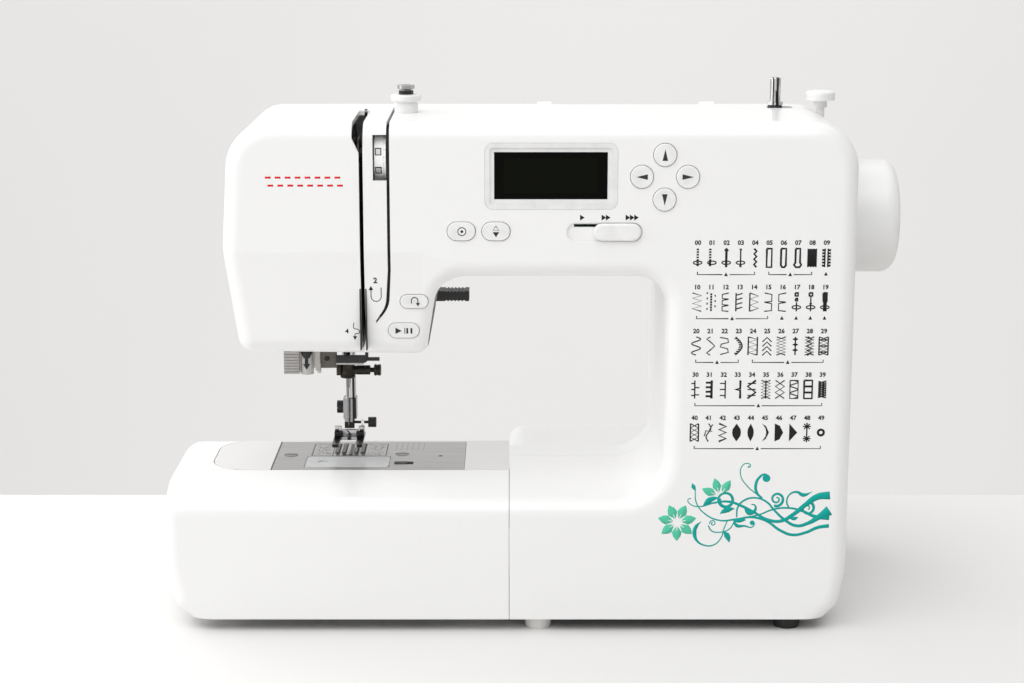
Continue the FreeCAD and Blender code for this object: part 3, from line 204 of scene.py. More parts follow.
def brushed_metal(name, tone, along, rough):
    # fine lines along one axis
    s = Shader(name)
    stretch = tuple(0.012 if a else 1.0 for a in along)
    lines = s.noise(2600.0, 2.0, 0.6, s.stretched(stretch))
    smear = s.noise(45.0, 3.0)
    colour = s.blend(lines.smooth(0.3, 0.7), times(tone, 0.78), tone)
    gloss = rough + lines * 0.1 + smear.smooth(0.4, 0.8) * 0.08
    return s.finish(Base_Color=colour, Metallic=1.0, Roughness=gloss, Normal=s.relief(lines, 0.00001, 0.35))


def bright_metal(name, tone):
    s = Shader(name)
    touch = s.noise(160.0, 4.0)
    scratch = s.noise(900.0, 2.0, 0.5, s.stretched((1, 1, 0.03)))
    colour = s.blend(touch.smooth(0.35, 0.8), tone, times(tone, 0.86))
    gloss = 0.12 + touch * 0.06 + scratch.smooth(0.5, 0.75) * 0.05
    return s.finish(Base_Color=colour, Metallic=1.0, Roughness=gloss)


def polished_rod(name, middle, radius, bands=((-0.6, -0.4), (0.05, 0.5)), tone=(0.62, 0.62, 0.63),
                 black=0.0):
    # an upright polished rod: bright, with dark streaks down its length that are painted reflections
    # (on the presser foot the same bands fall on its black pads and a dark middle strip), fine drawing
    # lines, and black below one height; a band's edges are shares of the radius
    s = Shader(name)
    draw = s.noise(900.0, 2.0, 0.5, s.stretched((1, 1, 0.03)))
    across = (s.mm("X") - middle) * (1 / radius) + (draw - 0.5) * 0.12
    dark = s.mm("Z") < black
    # painted reflections: dark bands at fixed places across the rod
    for low, high in bands:
        dark = dark + across.smooth(low - 0.06, low + 0.06) * across.smooth(high + 0.08, high - 0.08)
    colour = s.blend(dark.clamp(), tone, (0.03, 0.027, 0.024))
    return s.finish(Base_Color=colour, Metallic=1.0, Roughness=0.16 + draw * 0.08)


def blackened_steel(name):
    # blued steel rubbed brown along its edges
    s = Shader(name)
    wear = s.noise(260.0, 2.0)
    fine = s.noise(1500.0, 3.0)
    colour = s.blend(wear.smooth(0.5, 0.85) * 0.6, (0.022, 0.019, 0.016), (0.13, 0.105, 0.075))
    return s.finish(Base_Color=colour, Metallic=0.7, Roughness=0.26 + fine * 0.12)


def soft_rubber(name, tone):
    s = Shader(name)
    dust = s.noise(300.0, 5.0)
    colour = s.blend(dust.smooth(0.5, 0.8), tone, tuple(c * 1.3 + 0.01 for c in tone))
    return s.finish(Base_Color=colour, Roughness=0.72 + dust * 0.15,
                    Normal=s.relief(dust, 0.00004, 0.5))


def machine_feet(name, pale_to):
    # black rubber pads; those left of pale_to are bare pale rubber
    s = Shader(name)
    dust = s.noise(300.0, 5.0)
    black = s.blend(dust.smooth(0.5, 0.8), (0.02, 0.02, 0.02), (0.035, 0.035, 0.034))
    colour = s.blend(s.mm("X") < pale_to, black, (0.72, 0.71, 0.69))
    return s.finish(Base_Color=colour, Roughness=0.72 + dust * 0.15,
                    Normal=s.relief(dust, 0.00004, 0.5))


def two_tone_discs(name, cap):
    # black drum round a black pin, with a polished rim above one height
    s = Shader(name)
    pin_x, pin_y, pin_radius = -69.9, -35.0, 2.19
    touch = s.noise(400.0, 3.0)
    above = s.mm("Z") > cap
    east = s.mm("X") - pin_x
    north = s.mm("Y") - pin_y
    rim = (east * east + north * north) > pin_radius ** 2
    colour = s.blend(above * rim, (0.012, 0.012, 0.012), (0.55, 0.54, 0.53))
    return s.finish(Base_Color=colour, Metallic=above, Roughness=0.18 + touch * 0.1)


def ribbed_lever(name, tone):
    # grey lever with fine level ribs
    s = Shader(name)
    step = 1.7
    texture = s.noise(900.0, 2.0)
    groove = (s.mm("Z") * (1 / step)).fraction().between(0.0, 0.34)
    colour = s.blend(groove, tone, times(tone, 0.68))
    return s.finish(Base_Color=colour, Roughness=0.42 + texture * 0.08,
                    Normal=s.relief(groove, 0.0001, 0.3))


def threader_grey(name, tone):
    # grey threader whose post carries a black arrow pointing down
    s = Shader(name)
    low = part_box("threader")[0]
    texture = s.noise(900.0, 2.0)
    off = (s.mm("X") - (low[0] / MM + 3.8)).absolute()
    up = s.mm("Z") - low[2] / MM
    head = (off < (up - 2.9) * 0.62) * up.between(2.9, 6.3)
    stem = (off < 1.05) * (up > 6.2)
    flare = (off < (up - 8.4) * 0.55 + 1.0) * (up > 9.6)
    front = s.mm("Y") < 0.0
    mark = (head + stem + flare).clamp() * front
    colour = s.blend(mark, tone, (0.012, 0.012, 0.012))
    return s.finish(Base_Color=colour, Roughness=0.42 + texture * 0.08,
                    Normal=s.relief(texture, 0.00003, 0.5))


def dial_white(name):
    # tension dial: two framed marks, a dotted scale, painted shadow along its upper and left edges, and a
    # white set brighter than the housing's, partly to offset the shade of its recess
    s = Shader(name)
    low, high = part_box("tension_dial")
    texture = s.noise(1400.0, 2.0)
    x = s.mm("X") - low[0] / MM
    z = s.mm("Z") - (low[2] + high[2]) / 2 / MM
    marks = 0.0
    for middle, fill in ((3.0, 0.55), (-7.0, 0.95)):
        u = (x - 2.3).absolute()
        v = (z - middle).absolute()
        outer = (u < 1.75) * (v < 1.95)
        inner = (u < 1.2) * (v < 1.4)
        bar = inner * ((z * 1.7).fraction() < 0.5)
        marks = marks + (outer - inner + bar * fill)
    dots = (x - 4.9).absolute().between(-1.0, 0.16) * (z * 1.1).fraction().between(0.0, 0.45) * 0.45
    # painted shadow: darker towards the dial's upper edge and towards its left edge
    shade = z.smooth(9.0, 12.0) * 0.9 + x.smooth(0.5, 0.1) * 0.7
    # a whiter white than the housing, partly a painted lift against the shade of the recess
    colour = s.blend((marks + dots).clamp(), (0.97, 0.97, 0.96), (0.03, 0.03, 0.03))
    colour = s.blend(shade.clamp(), colour, (0.03, 0.025, 0.02))
    return s.finish(Base_Color=colour, Roughness=0.34 + texture * 0.08,
                    Normal=s.relief(texture, 0.000015, 0.5))


def marked_plate(name, tone):
    # brushed needle plate with its printed frame, seam guides, and painted shade in the feed slots
    s = Shader(name)
    frame_x, frame_y, edge = NEEDLE_X - 0.1, 15.2, -148.9
    lines = s.noise(2600.0, 2.0, 0.6, s.stretched((0.012, 1, 1)))
    x = s.mm("X")
    y = s.mm("Y")
    wide = (x - frame_x).absolute()
    deep = (y - frame_y).absolute()
    outline = (wide < 21.9) * (deep < 13.4) - (wide < 21.2) * (deep < 12.6)
    inside = deep < 12.6
    # painted shade: dark stripes where the feed slots open
    rows = (wide < 9.8) * inside * ((x * 0.27).fraction() < 0.55)
    speckle = s.noise(520.0, 1.0) > 0.57
    scales = ((x + 122.0).absolute() < 4.2) + ((x + 92.0).absolute() < 4.6)
    scales = scales * inside * speckle
    guides = x.between(-83.5, -63.0) * y.between(14.0, 31.0) * ((x * 0.31).fraction() < 0.1)
    print_and_slot_shade = outline + rows + scales * 0.6 + guides * 0.6 + (x < edge)
    metal = s.blend(lines.smooth(0.3, 0.7), times(tone, 0.8), tone)
    colour = s.blend(print_and_slot_shade.clamp() * 0.82, metal, (0.02, 0.017, 0.015))
    return s.finish(Base_Color=colour, Metallic=1.0, Roughness=0.34 + lines * 0.1,
                    Normal=s.relief(lines, 0.00001, 0.35))


def clear_plastic(name, tone=(0.86, 0.88, 0.88), alpha=0.55):
    s = Shader(name)
    haze = s.noise(70.0, 3.0)
    cover = alpha + haze * 0.08
    return s.finish(Base_Color=tone, Roughness=0.12 + haze * 0.08, Alpha=cover.clamp(), IOR=1.49,
                    Coat_Weight=0.4)


def dark_window(name):
    # smoked display window with a barely lighter screen behind it
    s = Shader(name)
    half_wide, half_tall = 24.5, 9.2
    low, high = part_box("display_window")
    across = (s.mm("X") - (low[0] + high[0]) / 2 / MM).absolute()
    up = (s.mm("Z") - (low[2] + high[2]) / 2 / MM).absolute()
    inside = (across < half_wide) * (up < half_tall)
    dust = s.noise(500.0, 3.0)
    colour = s.blend(inside, (0.0016, 0.0016, 0.0013), (0.0028, 0.0036, 0.0014))
    return s.finish(Base_Color=colour, Roughness=0.12 + dust * 0.05, Specular_IOR_Level=0.06)


def printed_ink(name, tone, rough=0.5):
    s = Shader(name)
    grain = s.noise(1800.0, 3.0)
    colour = s.blend(grain.smooth(0.45, 0.85), tone, tuple(min(1.0, c * 1.18 + 0.01) for c in tone))
    return s.finish(Base_Color=colour, Roughness=rough + grain * 0.06, Specular_IOR_Level=0.2)


def circuit_board(name):
    s = Shader(name)
    inputs = {"Vector": s.place, "Scale": 420.0}
    tracks = s.node("ShaderNodeTexVoronoi", {"feature": "DISTANCE_TO_EDGE"}, inputs)
    colour = s.blend(tracks.smooth(0.02, 0.06), (0.20, 0.45, 0.22), (0.03, 0.16, 0.07))
    return s.finish(Base_Color=colour, Roughness=0.4)


def cast_metal(name):
    s = Shader(name)
    tone = (0.55, 0.56, 0.57)
    skin = s.noise(260.0, 5.0, 0.65)
    colour = s.blend(skin.smooth(0.3, 0.7), times(tone, 0.8), tone)
    return s.finish(Base_Color=colour, Metallic=0.8, Roughness=0.5 + skin * 0.15,
                    Normal=s.relief(skin, 0.0001, 0.4))


SHELL = moulded_white("housing white", (0.86, 0.86, 0.855), 0.28)
TABLE = moulded_white("table white", (0.86, 0.86, 0.856), 0.3)
WHEEL = moulded_white("wheel white", (0.82, 0.82, 0.81), 0.36)
KEY = satin_plastic("key white", (0.84, 0.84, 0.835), 0.34, 1400.0, 0.000015)
BEZEL = satin_plastic("bezel white", (0.80, 0.80, 0.80), 0.38, 1200.0, 0.00002)
WINDOW = dark_window("smoked window")
STEEL = brushed_metal("brushed plate", (0.46, 0.46, 0.46), (1, 0, 0), 0.34)
CHROME = bright_metal("bright chrome", (0.80, 0.80, 0.81))
TURNED = brushed_metal("turned steel", (0.40, 0.40, 0.41), (0, 0, 1), 0.3)
BRONZE = blackened_steel("blackened steel")
BLACK = satin_plastic("black plastic", (0.016, 0.016, 0.017), 0.42, 1100.0, 0.00003)
RUBBER = soft_rubber("black rubber", (0.02, 0.02, 0.02))
FEET = machine_feet("machine feet", 60.0)
LEVER = ribbed_lever("lever grey", (0.50, 0.485, 0.47))
THREADER = threader_grey("threader grey", (0.60, 0.585, 0.57))
DARK_GREY = satin_plastic("bracket grey", (0.13, 0.115, 0.10), 0.4)
MID_GREY = satin_plastic("tab grey", (0.52, 0.50, 0.48), 0.4)
ARM = moulded_white("arm white", (0.74, 0.73, 0.72), 0.45)
DIAL = dial_white("dial white")
DISCS = two_tone_discs("guide discs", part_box("guide_discs")[1][2] / MM - 2.8)
PLATE = marked_plate("needle plate", (0.58, 0.58, 0.58))
NEEDLE_ROD = polished_rod("needle rod", NEEDLE_X, 3.2)
PRESSER_ROD = polished_rod("presser rod", PRESSER_X, 2.9, ((-0.75, -0.55), (0.3, 0.75)))
HOLDER = polished_rod("holder steel", (NEEDLE_X + PRESSER_X) / 2, 4.0, ((-0.15, 0.0), (0.35, 0.9)),
                      (0.36, 0.36, 0.365), 93.0)
FOOT = polished_rod("foot steel", NEEDLE_X, 8.8, ((-1.0, -0.55), (-0.12, 0.12), (0.6, 1.0)), (0.5, 0.5, 0.5))
TAKE_UP = bright_metal("lever steel", (0.16, 0.15, 0.145))
NEEDLE = bright_metal("needle steel", (0.22, 0.21, 0.205))
SPINDLE = polished_rod("winder steel", WINDER_X, 2.95, ((-0.6, -0.38), (-0.02, 0.55)))
CLEAR = clear_plastic("clear cover")
FROST = clear_plastic("frosted lamp", (0.9, 0.88, 0.82), 0.7)
CAST = cast_metal("cast frame")
BOARD = circuit_board("circuit board")
BRIDGE = bright_metal("foot bridge steel", (0.6, 0.6, 0.61))
CAN = satin_plastic("motor can", (0.05, 0.05, 0.055), 0.5)
BASE = satin_plastic("base grey", (0.10, 0.10, 0.105), 0.55, 700.0, 0.00006)
INK = printed_ink("black print", (0.012, 0.012, 0.012))
DARK_INK = printed_ink("grey print", (0.035, 0.035, 0.035))
TEAL = printed_ink("teal print", (0.0, 0.34, 0.3), 0.4)
MINT = printed_ink("mint print", (0.085, 0.53, 0.35), 0.4)
RED = printed_ink("red print", (0.72, 0.012, 0.016), 0.4)

SLOTS = {
    "shell_white": SHELL, "table_white": TABLE, "wheel_white": WHEEL, "base_grey": BASE,
    "frame_alloy": CAST, "bezel_white": BEZEL, "window_black": WINDOW, "board_green": BOARD,
    "steel_plate": STEEL, "steel_bright": CHROME, "steel_dark": TURNED, "black_plastic": BLACK,
    "bronze_dark": BRONZE, "rubber_black": RUBBER, "lever_grey": LEVER, "key_white": KEY,
    "clear_cover": CLEAR, "lamp_clear": FROST, "motor_steel": CAN,
}
NODES = {
    "rubber_feet": FEET, "threader": THREADER, "free_arm_cover": ARM, "tension_dial": DIAL,
    "guide_discs": DISCS, "needle_plate": PLATE, "needle_bar": NEEDLE_ROD, "presser_bar": PRESSER_ROD,
    "foot_holder": HOLDER, "presser_foot": FOOT, "winder_spindle": SPINDLE, "take_up_lever": TAKE_UP,
    "needle": NEEDLE, "tension_unit": BRONZE,
}


def dress_cad_nodes():
    slot_of = {p["node"]: p["material_slot"] for p in frame["record"]["subparts"]}
    for name, thing in frame["nodes"].items():
        finish = NODES.get(name) or SLOTS[slot_of[name]]
        if not thing.material_slots:
            thing.data.materials.append(finish)
        for place in thing.material_slots:
            place.material = finish


# ---------------------------------------------------------------- modelling helpers, all sizes in mm

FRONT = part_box("front_cover")[0][1] / MM
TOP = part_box("front_cover")[1][2] / MM
CREASE = TOP - 68.1      # below it the front of the head leans back by LEAN
LEAN = math.radians(8)
PRINT = 0.05             # half the thickness of a printed mark
BOLD = 0.036             # how far a number's outline grows, as a share of its size


def active(thing):
    bpy.ops.object.select_all(action="DESELECT")
    thing.select_set(True)
    bpy.context.view_layer.objects.active = thing


def settle(thing):
    # its place goes into its mesh, so the object sits at the origin
    active(thing)
    bpy.ops.object.transform_apply(location=True, rotation=True, scale=True)
    return thing


def join(name, things):
    bpy.ops.object.select_all(action="DESELECT")
    for thing in things:
        thing.select_set(True)
    bpy.context.view_layer.objects.active = things[0]
    bpy.ops.object.join()
    things[0].name = name
    return things[0]


def finished(thing, finish, body, smooth=30.0):
    # recalculates the outside, rounds the shading, and hands the piece to its body
    settle(thing)
    bpy.ops.object.mode_set(mode="EDIT")
    bpy.ops.mesh.select_all(action="SELECT")
    bpy.ops.mesh.remove_doubles(threshold=0.000001)
    bpy.ops.mesh.normals_make_consistent(inside=False)
    bpy.ops.object.mode_set(mode="OBJECT")
    if smooth:
        bpy.ops.object.shade_smooth_by_angle(angle=math.radians(smooth))
    thing.data.materials.clear()
    thing.data.materials.append(finish)
    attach(thing, body)


def printed(thing, finish=INK, body="body"):
    finished(thing, finish, body, 0)


def stand_on(thing, depth, leaning):
    # puts a drawing made in X and Z on the upright front, or on the head's lower front that leans back
    if leaning:
        thing.location = (0, FRONT * MM, CREASE * MM)
        thing.rotation_euler = (LEAN, 0, 0)
    thing.location.y += depth * MM
    return thing


def down(z, leaning):
    # a height, or the way along the leaning front from the crease to that height
    return (z - CREASE) / math.cos(LEAN) if leaning else z


def lay(data, points, smooth, closed, place, widths=None):
    # one line of a curve, straight or rounded between its points
    spline = data.splines.new("BEZIER" if smooth else "POLY")
    spline.use_cyclic_u = closed
    knots = spline.bezier_points if smooth else spline.points
    knots.add(len(points) - 1)
    for n, knot in enumerate(knots):
        spot = place(*points[n])
        knot.co = spot if smooth else (*spot, 1)
        if widths:
            knot.radius = widths[n]
        if smooth:
            knot.handle_left_type = knot.handle_right_type = "AUTO"


def strokes(name, lines, depth=0.0, leaning=False, flat=0.2):
    # lines: (points, half width or one per point, smooth, closed); points are (x, z)
    data = bpy.data.curves.new(name, "CURVE")
    data.dimensions = "3D"
    data.bevel_depth = MM
    data.bevel_resolution = 1
    data.resolution_u = 8
    data.use_fill_caps = True
    for points, half, smooth, closed in lines:
        widths = half if isinstance(half, list) else [half] * len(points)
        lay(data, points, smooth, closed, lambda x, z: (x * MM, 0, down(z, leaning) * MM), widths)
    thing = bpy.data.objects.new(name, data)
    bpy.context.collection.objects.link(thing)
    active(thing)
    bpy.ops.object.convert(target="MESH")
    bpy.ops.object.mode_set(mode="EDIT")
    bpy.ops.mesh.select_all(action="SELECT")
    bpy.ops.transform.resize(value=(1, flat, 1), center_override=(0, 0, 0))
    bpy.ops.object.mode_set(mode="OBJECT")
    return settle(stand_on(thing, depth if leaning else FRONT + depth, leaning))


def upright(thing, x, z, depth, leaning):
    # a drawing made flat on the ground is made a mesh, turned up and put on the front
    active(thing)
    bpy.ops.object.convert(target="MESH")
    thing = bpy.context.object
    thing.rotation_euler = (math.radians(90), 0, 0)
    thing.location = (x * MM, 0, down(z, leaning) * MM)
    settle(thing)
    return settle(stand_on(thing, depth if leaning else FRONT + depth, leaning))


def plates(name, outlines, depth=0.0, leaning=False, smooth=False, thick=PRINT, soft=0.0):
    # outlines: lists of (x, z); one inside another makes a hole; soft rounds the edges
    data = bpy.data.curves.new(name, "CURVE")
    data.dimensions = "2D"
    data.fill_mode = "BOTH"
    data.extrude = (thick - soft) * MM
    data.bevel_depth = soft * MM
    data.bevel_resolution = 2
    data.offset = -soft * MM
    data.resolution_u = 6
    for points in outlines:
        lay(data, points, smooth, True, lambda x, z: (x * MM, down(z, leaning) * MM, 0))
    thing = bpy.data.objects.new(name, data)
    bpy.context.collection.objects.link(thing)
    return upright(thing, 0, CREASE if leaning else 0, depth, leaning)


def figures(text, x, z, size, depth=0.0, leaning=False):
    # a number about its middle
    bpy.ops.object.text_add()
    thing = bpy.context.object
    thing.data.body = text
    thing.data.align_x = "CENTER"
    thing.data.align_y = "CENTER"
    thing.data.size = size * MM
    thing.data.extrude = PRINT * MM
    thing.data.offset = BOLD * size * MM
    thing.data.resolution_u = 2
    return upright(thing, x, z, depth, leaning)


def circle(x, z, r, count=20, start=0.0, turn=360.0):
    # points round a middle: a closed ring, or an open arc when the turn is less
    steps = count if turn == 360.0 else count - 1
    angles = [math.radians(start + turn * n / steps) for n in range(count)]
    return [(x + r * math.cos(a), z + r * math.sin(a)) for a in angles]


# ---------------------------------------------------------------- stitch chart

ICON_W = 2.4             # half the width of a picture, whose points run from -1 to 1 and from 0 down to 1
ICON_H = 9.9
FINE, LINE, HEAVY = 0.3, 0.38, 0.64      # half widths of the lines


def sway(count, left=-1.0, right=1.0, top=0.0, bottom=1.0):
    side = (left, right)
    return [(side[n % 2], top + (bottom - top) * n / count) for n in range(count + 1)]


def rungs(count, left, right, drop=0.0, top=0.0, bottom=1.0):
    gap = (bottom - top) / count
    return [[(left, top + gap * (n + 0.5)), (right, top + gap * (n + 0.5) + drop)]
            for n in range(count)]


def dashes(u, count, top=0.0, bottom=1.0):
    gap = (bottom - top) / count
    return [[(u, top + gap * n), (u, top + gap * (n + 0.6))] for n in range(count)]


def rail(u, top=0.0, bottom=1.0):
    return [[(u, top), (u, bottom)]]


def frame_of(w, top=0.0, bottom=1.0):
    return [[(-w, top), (w, top), (w, bottom), (-w, bottom), (-w, top)]]


def foot_ring(v=0.76):
    corners = [n * math.pi / 8 for n in range(17)]
    return [[(math.cos(a) * 0.95, v + 0.09 * math.sin(a)) for a in corners]]


def arcs(count, side):
    lines = []
    for n in range(count):
        top = n / count
        lines.append([(-side, top), (side, top + 0.08), (side, top + 0.92 / count),
                      (-side, top + 1 / count)])
    return lines


def bump(side, ticks):
    curve = [(side * (-0.7 + 1.5 * math.sin(math.pi * n / 12)), n / 12) for n in range(13)]
    lines = [curve]
    for n in range(1, ticks):
        u = side * (-0.7 + 1.5 * math.sin(math.pi * n / ticks))
        lines.append([(u, n / ticks), (u - 0.7 * side, n / ticks)])
    return lines


def wave(count, swing=1.0):
    return [[(swing * math.sin(count * math.pi * n / 24), n / 24) for n in range(25)]]


def chevrons(count, rise):
    gap = 1 / count
    return [[(-1, gap * (n + 0.6) + rise), (0, gap * (n + 0.6) - rise), (1, gap * (n + 0.6) + rise)]
            for n in range(count)]


def stars(v):
    lines = []
    for n in range(4):
        a = n * math.pi / 4
        u, rise = 0.9 * math.cos(a), 0.2 * math.sin(a)
        lines.append([(-u, v - rise), (u, v + rise)])
    return lines


def stitch_pictures():
    # each picture: thin lines, heavy lines, filled shapes
    two = [sway(6), sway(6, 1, -1)]
    almond = [(0, 0), (0.85, 0.3), (1.0, 0.5), (0.85, 0.7), (0, 1), (-0.85, 0.7), (-1.0, 0.5),
              (-0.85, 0.3)]
    slim = [(0.72 * u, v) for u, v in almond]
    moon = [(-0.6, 0), (0.3, 0.15), (0.95, 0.5), (0.3, 0.85), (-0.6, 1), (0.2, 0.72), (0.35, 0.5),
            (0.2, 0.28)]
    half = [(-0.9, 0), (0.2, 0.12), (1.0, 0.5), (0.2, 0.88), (-0.9, 1)]
    oblong_eye = [(-0.55, 0), (0.55, 0), (0.55, 0.9), (0.25, 1), (-0.25, 1), (-0.55, 0.9), (-0.55, 0)]
    keyhole_eye = [(-0.5, 0), (0.5, 0), (0.5, 0.75), (0.8, 0.88), (0.4, 1), (-0.4, 1), (-0.8, 0.88),
                   (-0.5, 0.75), (-0.5, 0)]
    darning = [line for n in range(7) for line in rail(-0.9 + 0.3 * n, 0.02 * (n % 2), 1 - 0.03 * (n % 2))]
    ticks = [[(-1, n / 7), (-0.75, (n + 1 / 8) / 7)] if n % 2 == 0 else [(1, n / 7), (0.75, (n + 1 / 8) / 7)]
             for n in range(7)]
    squares = [(-1, 0.03), (0.7, 0.1), (0.9, 0.3), (-0.7, 0.4), (-0.9, 0.55), (0.7, 0.65), (0.9, 0.85),
               (-0.9, 0.97)]
    diamonds = [[(0.7, v + 0.08), (0, v + 0.18), (-0.7, v + 0.08), (0, v)] for v in (0.04, 0.34, 0.64)]
    return [
        (foot_ring(), dashes(0, 7), []),
        (foot_ring(), dashes(-0.4, 7), []),
        (foot_ring(), rail(0) + [[(-0.35, 0.12), (0, 0.0), (0.35, 0.12)]], []),
        (foot_ring() + rail(0), rail(0, 0, 0.08) + rail(0, 0.9, 1), []),
        ([], [sway(7, -0.2, 0.35)], []),
        ([], frame_of(0.55), []),
        ([], [oblong_eye], []),
        ([], [keyhole_eye], []),
        (darning, [], []),
        (rail(-0.35) + rail(0.35), rungs(6, -0.95, -0.2) + rungs(6, 0.2, 0.95), []),
        ([sway(7)], [], []),
        ([], ticks + rungs(7, -0.2, 0.2), []),
        (arcs(3, -0.7), [], []),
        (rail(-0.8) + rungs(4, -0.8, 0.6, -0.1), [], []),
        (rail(-0.9) + [sway(6, -0.9, 1)], [], []),
        (arcs(2, 0.8), [], []),
        (arcs(2, -0.8), [], []),
        (foot_ring(0.78) + rail(0, 0.5), frame_of(0.3, 0, 0.16) + frame_of(0.2, 0.3, 0.42), []),
        (foot_ring(0.78) + rail(0, 0.2), frame_of(0.35, 0, 0.16), [[(-0.4, 0.62), (0, 0.48), (0.4, 0.62)]]),
        (foot_ring(0.78) + rail(-0.25) + rail(0.25) + rail(0), frame_of(0.4, 0, 0.45), []),
        (wave(4), [], []),
        ([[(0, 0), (-0.8, 0.12), (-0.1, 0.25), (1, 0.5), (-0.1, 0.75), (-0.8, 0.88), (0, 1)]], [], []),
        ([squares], [], []),
        (bump(1, 10), [], []),
        (rail(-1) + rail(1) + [sway(7)], [], []),
        (chevrons(4, 0.12), [], []),
        (two, [], []),
        (rail(0), [], diamonds),
        (two, [sway(8, -0.5, 0.5)], []),
        (two + rail(-1) + rail(1) + rungs(3, -1, 1), [], []),
        (rail(-0.1) + rungs(3, -0.9, -0.1) + rungs(2, -0.1, 0.9, 0, 0.2), [], []),
        ([], rail(0.5) + rungs(4, -0.8, 0.5), []),
        (rail(0.4) + rungs(3, -0.8, 0.4), [], []),
        ([], [[(0.6, 0), (0.6, 0.45), (-0.5, 0.5), (0.6, 0.55), (0.6, 1)]], []),
        (rungs(3, -0.9, 0.9), [[(0.9, 0), (-0.9, 0.33), (0.9, 0.66), (-0.9, 1)]], []),
        (two + rail(0), [], []),
        ([sway(3), sway(3, 1, -1)], [], []),
        (frame_of(0.9) + wave(5, 0.9), [], []),
        ([], frame_of(0.9) + [[(-0.9, n / 3), (0.9, n / 3)] for n in (1, 2)], []),
        (rungs(9, -0.9, 0.9, 0.12, 0, 0.9) + rungs(9, -0.9, 0.9, -0.12, 0.1, 1), [], []),
        (rail(-0.9) + rail(0.9) + [sway(4, -0.9, 0.9), sway(4, 0.9, -0.9)], [], []),
        (wave(2, 0.5) + [[(0.9, 0.05), (0.2, 0.35), (0.8, 0.45), (-0.6, 0.4), (-0.9, 0.7)]], [], []),
        ([], [sway(6, -0.8, 0.8)], []),
        ([], [], [almond]),
        ([], [], [slim]),
        ([], [], [moon]),
        ([], [], [half]),
        ([], [], [[(-0.8, 0), (1.0, 0.5), (-0.8, 1)]]),
        (stars(0.16) + stars(0.84) + rail(0, 0.3, 0.7), [], []),
        ([], [], []),
    ]


def stitch_chart():
    # five rows of ten: a number, its picture, and brackets or arrows under the groups
    left, pitch, drop = 85.4, 7.53, 23.75
    number_z, icon_top, bracket_z = TOP - 62.95, TOP - 66.0, TOP - 79.9
    figure, tick, gap = 3.35, 1.5, 1.9
    lines, filled, arrows, numbers = [], [], [], []
    for n, (thin, heavy, shapes) in enumerate(stitch_pictures()):
        x = left + pitch * (n % 10)
        top = icon_top - drop * (n // 10)
        for group, half in ((thin, LINE), (heavy, HEAVY)):
            for line in group:
                points = [(x + ICON_W * u, top - ICON_H * v) for u, v in line]
                lines.append((points, half, False, False))
        for shape in shapes:
            filled.append([(x + ICON_W * u, top - ICON_H * v) for u, v in shape])
        numbers.append(figures("%02d" % n, x, number_z - drop * (n // 10), figure))
    eyelet = circle(left + pitch * 9, icon_top - 4 * drop - ICON_H / 2, 1.55)
    lines.append((eyelet, 0.72, True, True))
    groups = [(0, 0, 4), (0, 5, 8), (1, 0, 5), (2, 0, 3), (2, 4, 9), (3, 0, 9), (4, 0, 9)]
    for row, first, last in groups:
        z = bracket_z - drop * row
        x0, x1 = left + pitch * first, left + pitch * last
        middle = (x0 + x1) / 2
        lines.append(([(x0, z + tick), (x0, z), (middle - gap, z)], FINE, False, False))
        lines.append(([(middle + gap, z), (x1, z), (x1, z + tick)], FINE, False, False))
        arrows.append((middle, z + 0.1))
    for row, column in ((0, 9), (1, 6), (1, 7), (1, 8), (1, 9)):
        arrows.append((left + pitch * column, bracket_z + 0.4 - drop * row))
    for x, z in arrows:
        filled.append([(x - 1.0, z - 0.9), (x + 1.0, z - 0.9), (x, z + 1.1)])
    printed(join("stitch_numbers", numbers))
    printed(strokes("stitch_lines", lines))
    printed(plates("stitch_shapes", filled))


# ---------------------------------------------------------------- flower print


def spiral(x, z, outer, inner, start, turns, thick, thin, count=18):
    points, widths = [], []
    for n in range(count):
        t = n / (count - 1)
        a = math.radians(start + 360 * turns * t)
        r = outer + (inner - outer) * t
        points.append((x + r * math.cos(a), z + r * math.sin(a)))
        widths.append(thick + (thin - thick) * t)
    return points, widths, True, False


def leaf(x0, z0, x1, z1, half, bow=0.0):
    points, widths = [], []
    wide, tall = x1 - x0, z1 - z0
    for t, share in ((0, 0.05), (0.2, 0.55), (0.42, 1.0), (0.68, 0.8), (0.88, 0.35), (1, 0.02)):
        side = bow * math.sin(math.pi * t)
        points.append((x0 + wide * t - tall * side, z0 + tall * t + wide * side))
        widths.append(half * share)
    return points, widths, True, False


def vine(*knots):
    # each knot: x, z and half the width there
    return [(x, z) for x, z, r in knots], [r for x, z, r in knots], True, False


def spread(lines):
    # moves the scrolls' upper left corner into place, and stretches and thickens them from there
    old_x, old_z, new_x, new_z = 82.1, 95.6, 82.5, 95.35
    wider, taller, bolder = 1.0186, 1.049, 1.22
    moved = []
    for points, widths, *rest in lines:
        points = [(new_x + (x - old_x) * wider, new_z + (z - old_z) * taller) for x, z in points]
        moved.append((points, [r * bolder + 0.02 for r in widths], *rest))
    return moved


def petals(x, z, length, half, count, start, sweep):
    lines, veins = [], []
    for n in range(count):
        a = math.radians(start + sweep * n)
        root, middle, tip = [(x + share * length * math.cos(a), z + share * length * math.sin(a))
                             for share in (0.2, 0.62, 1.0)]
        lines.append(leaf(*root, *tip, half))
        veins.append(([root, middle], [0.34, 0.05], False, False))
    return lines, veins


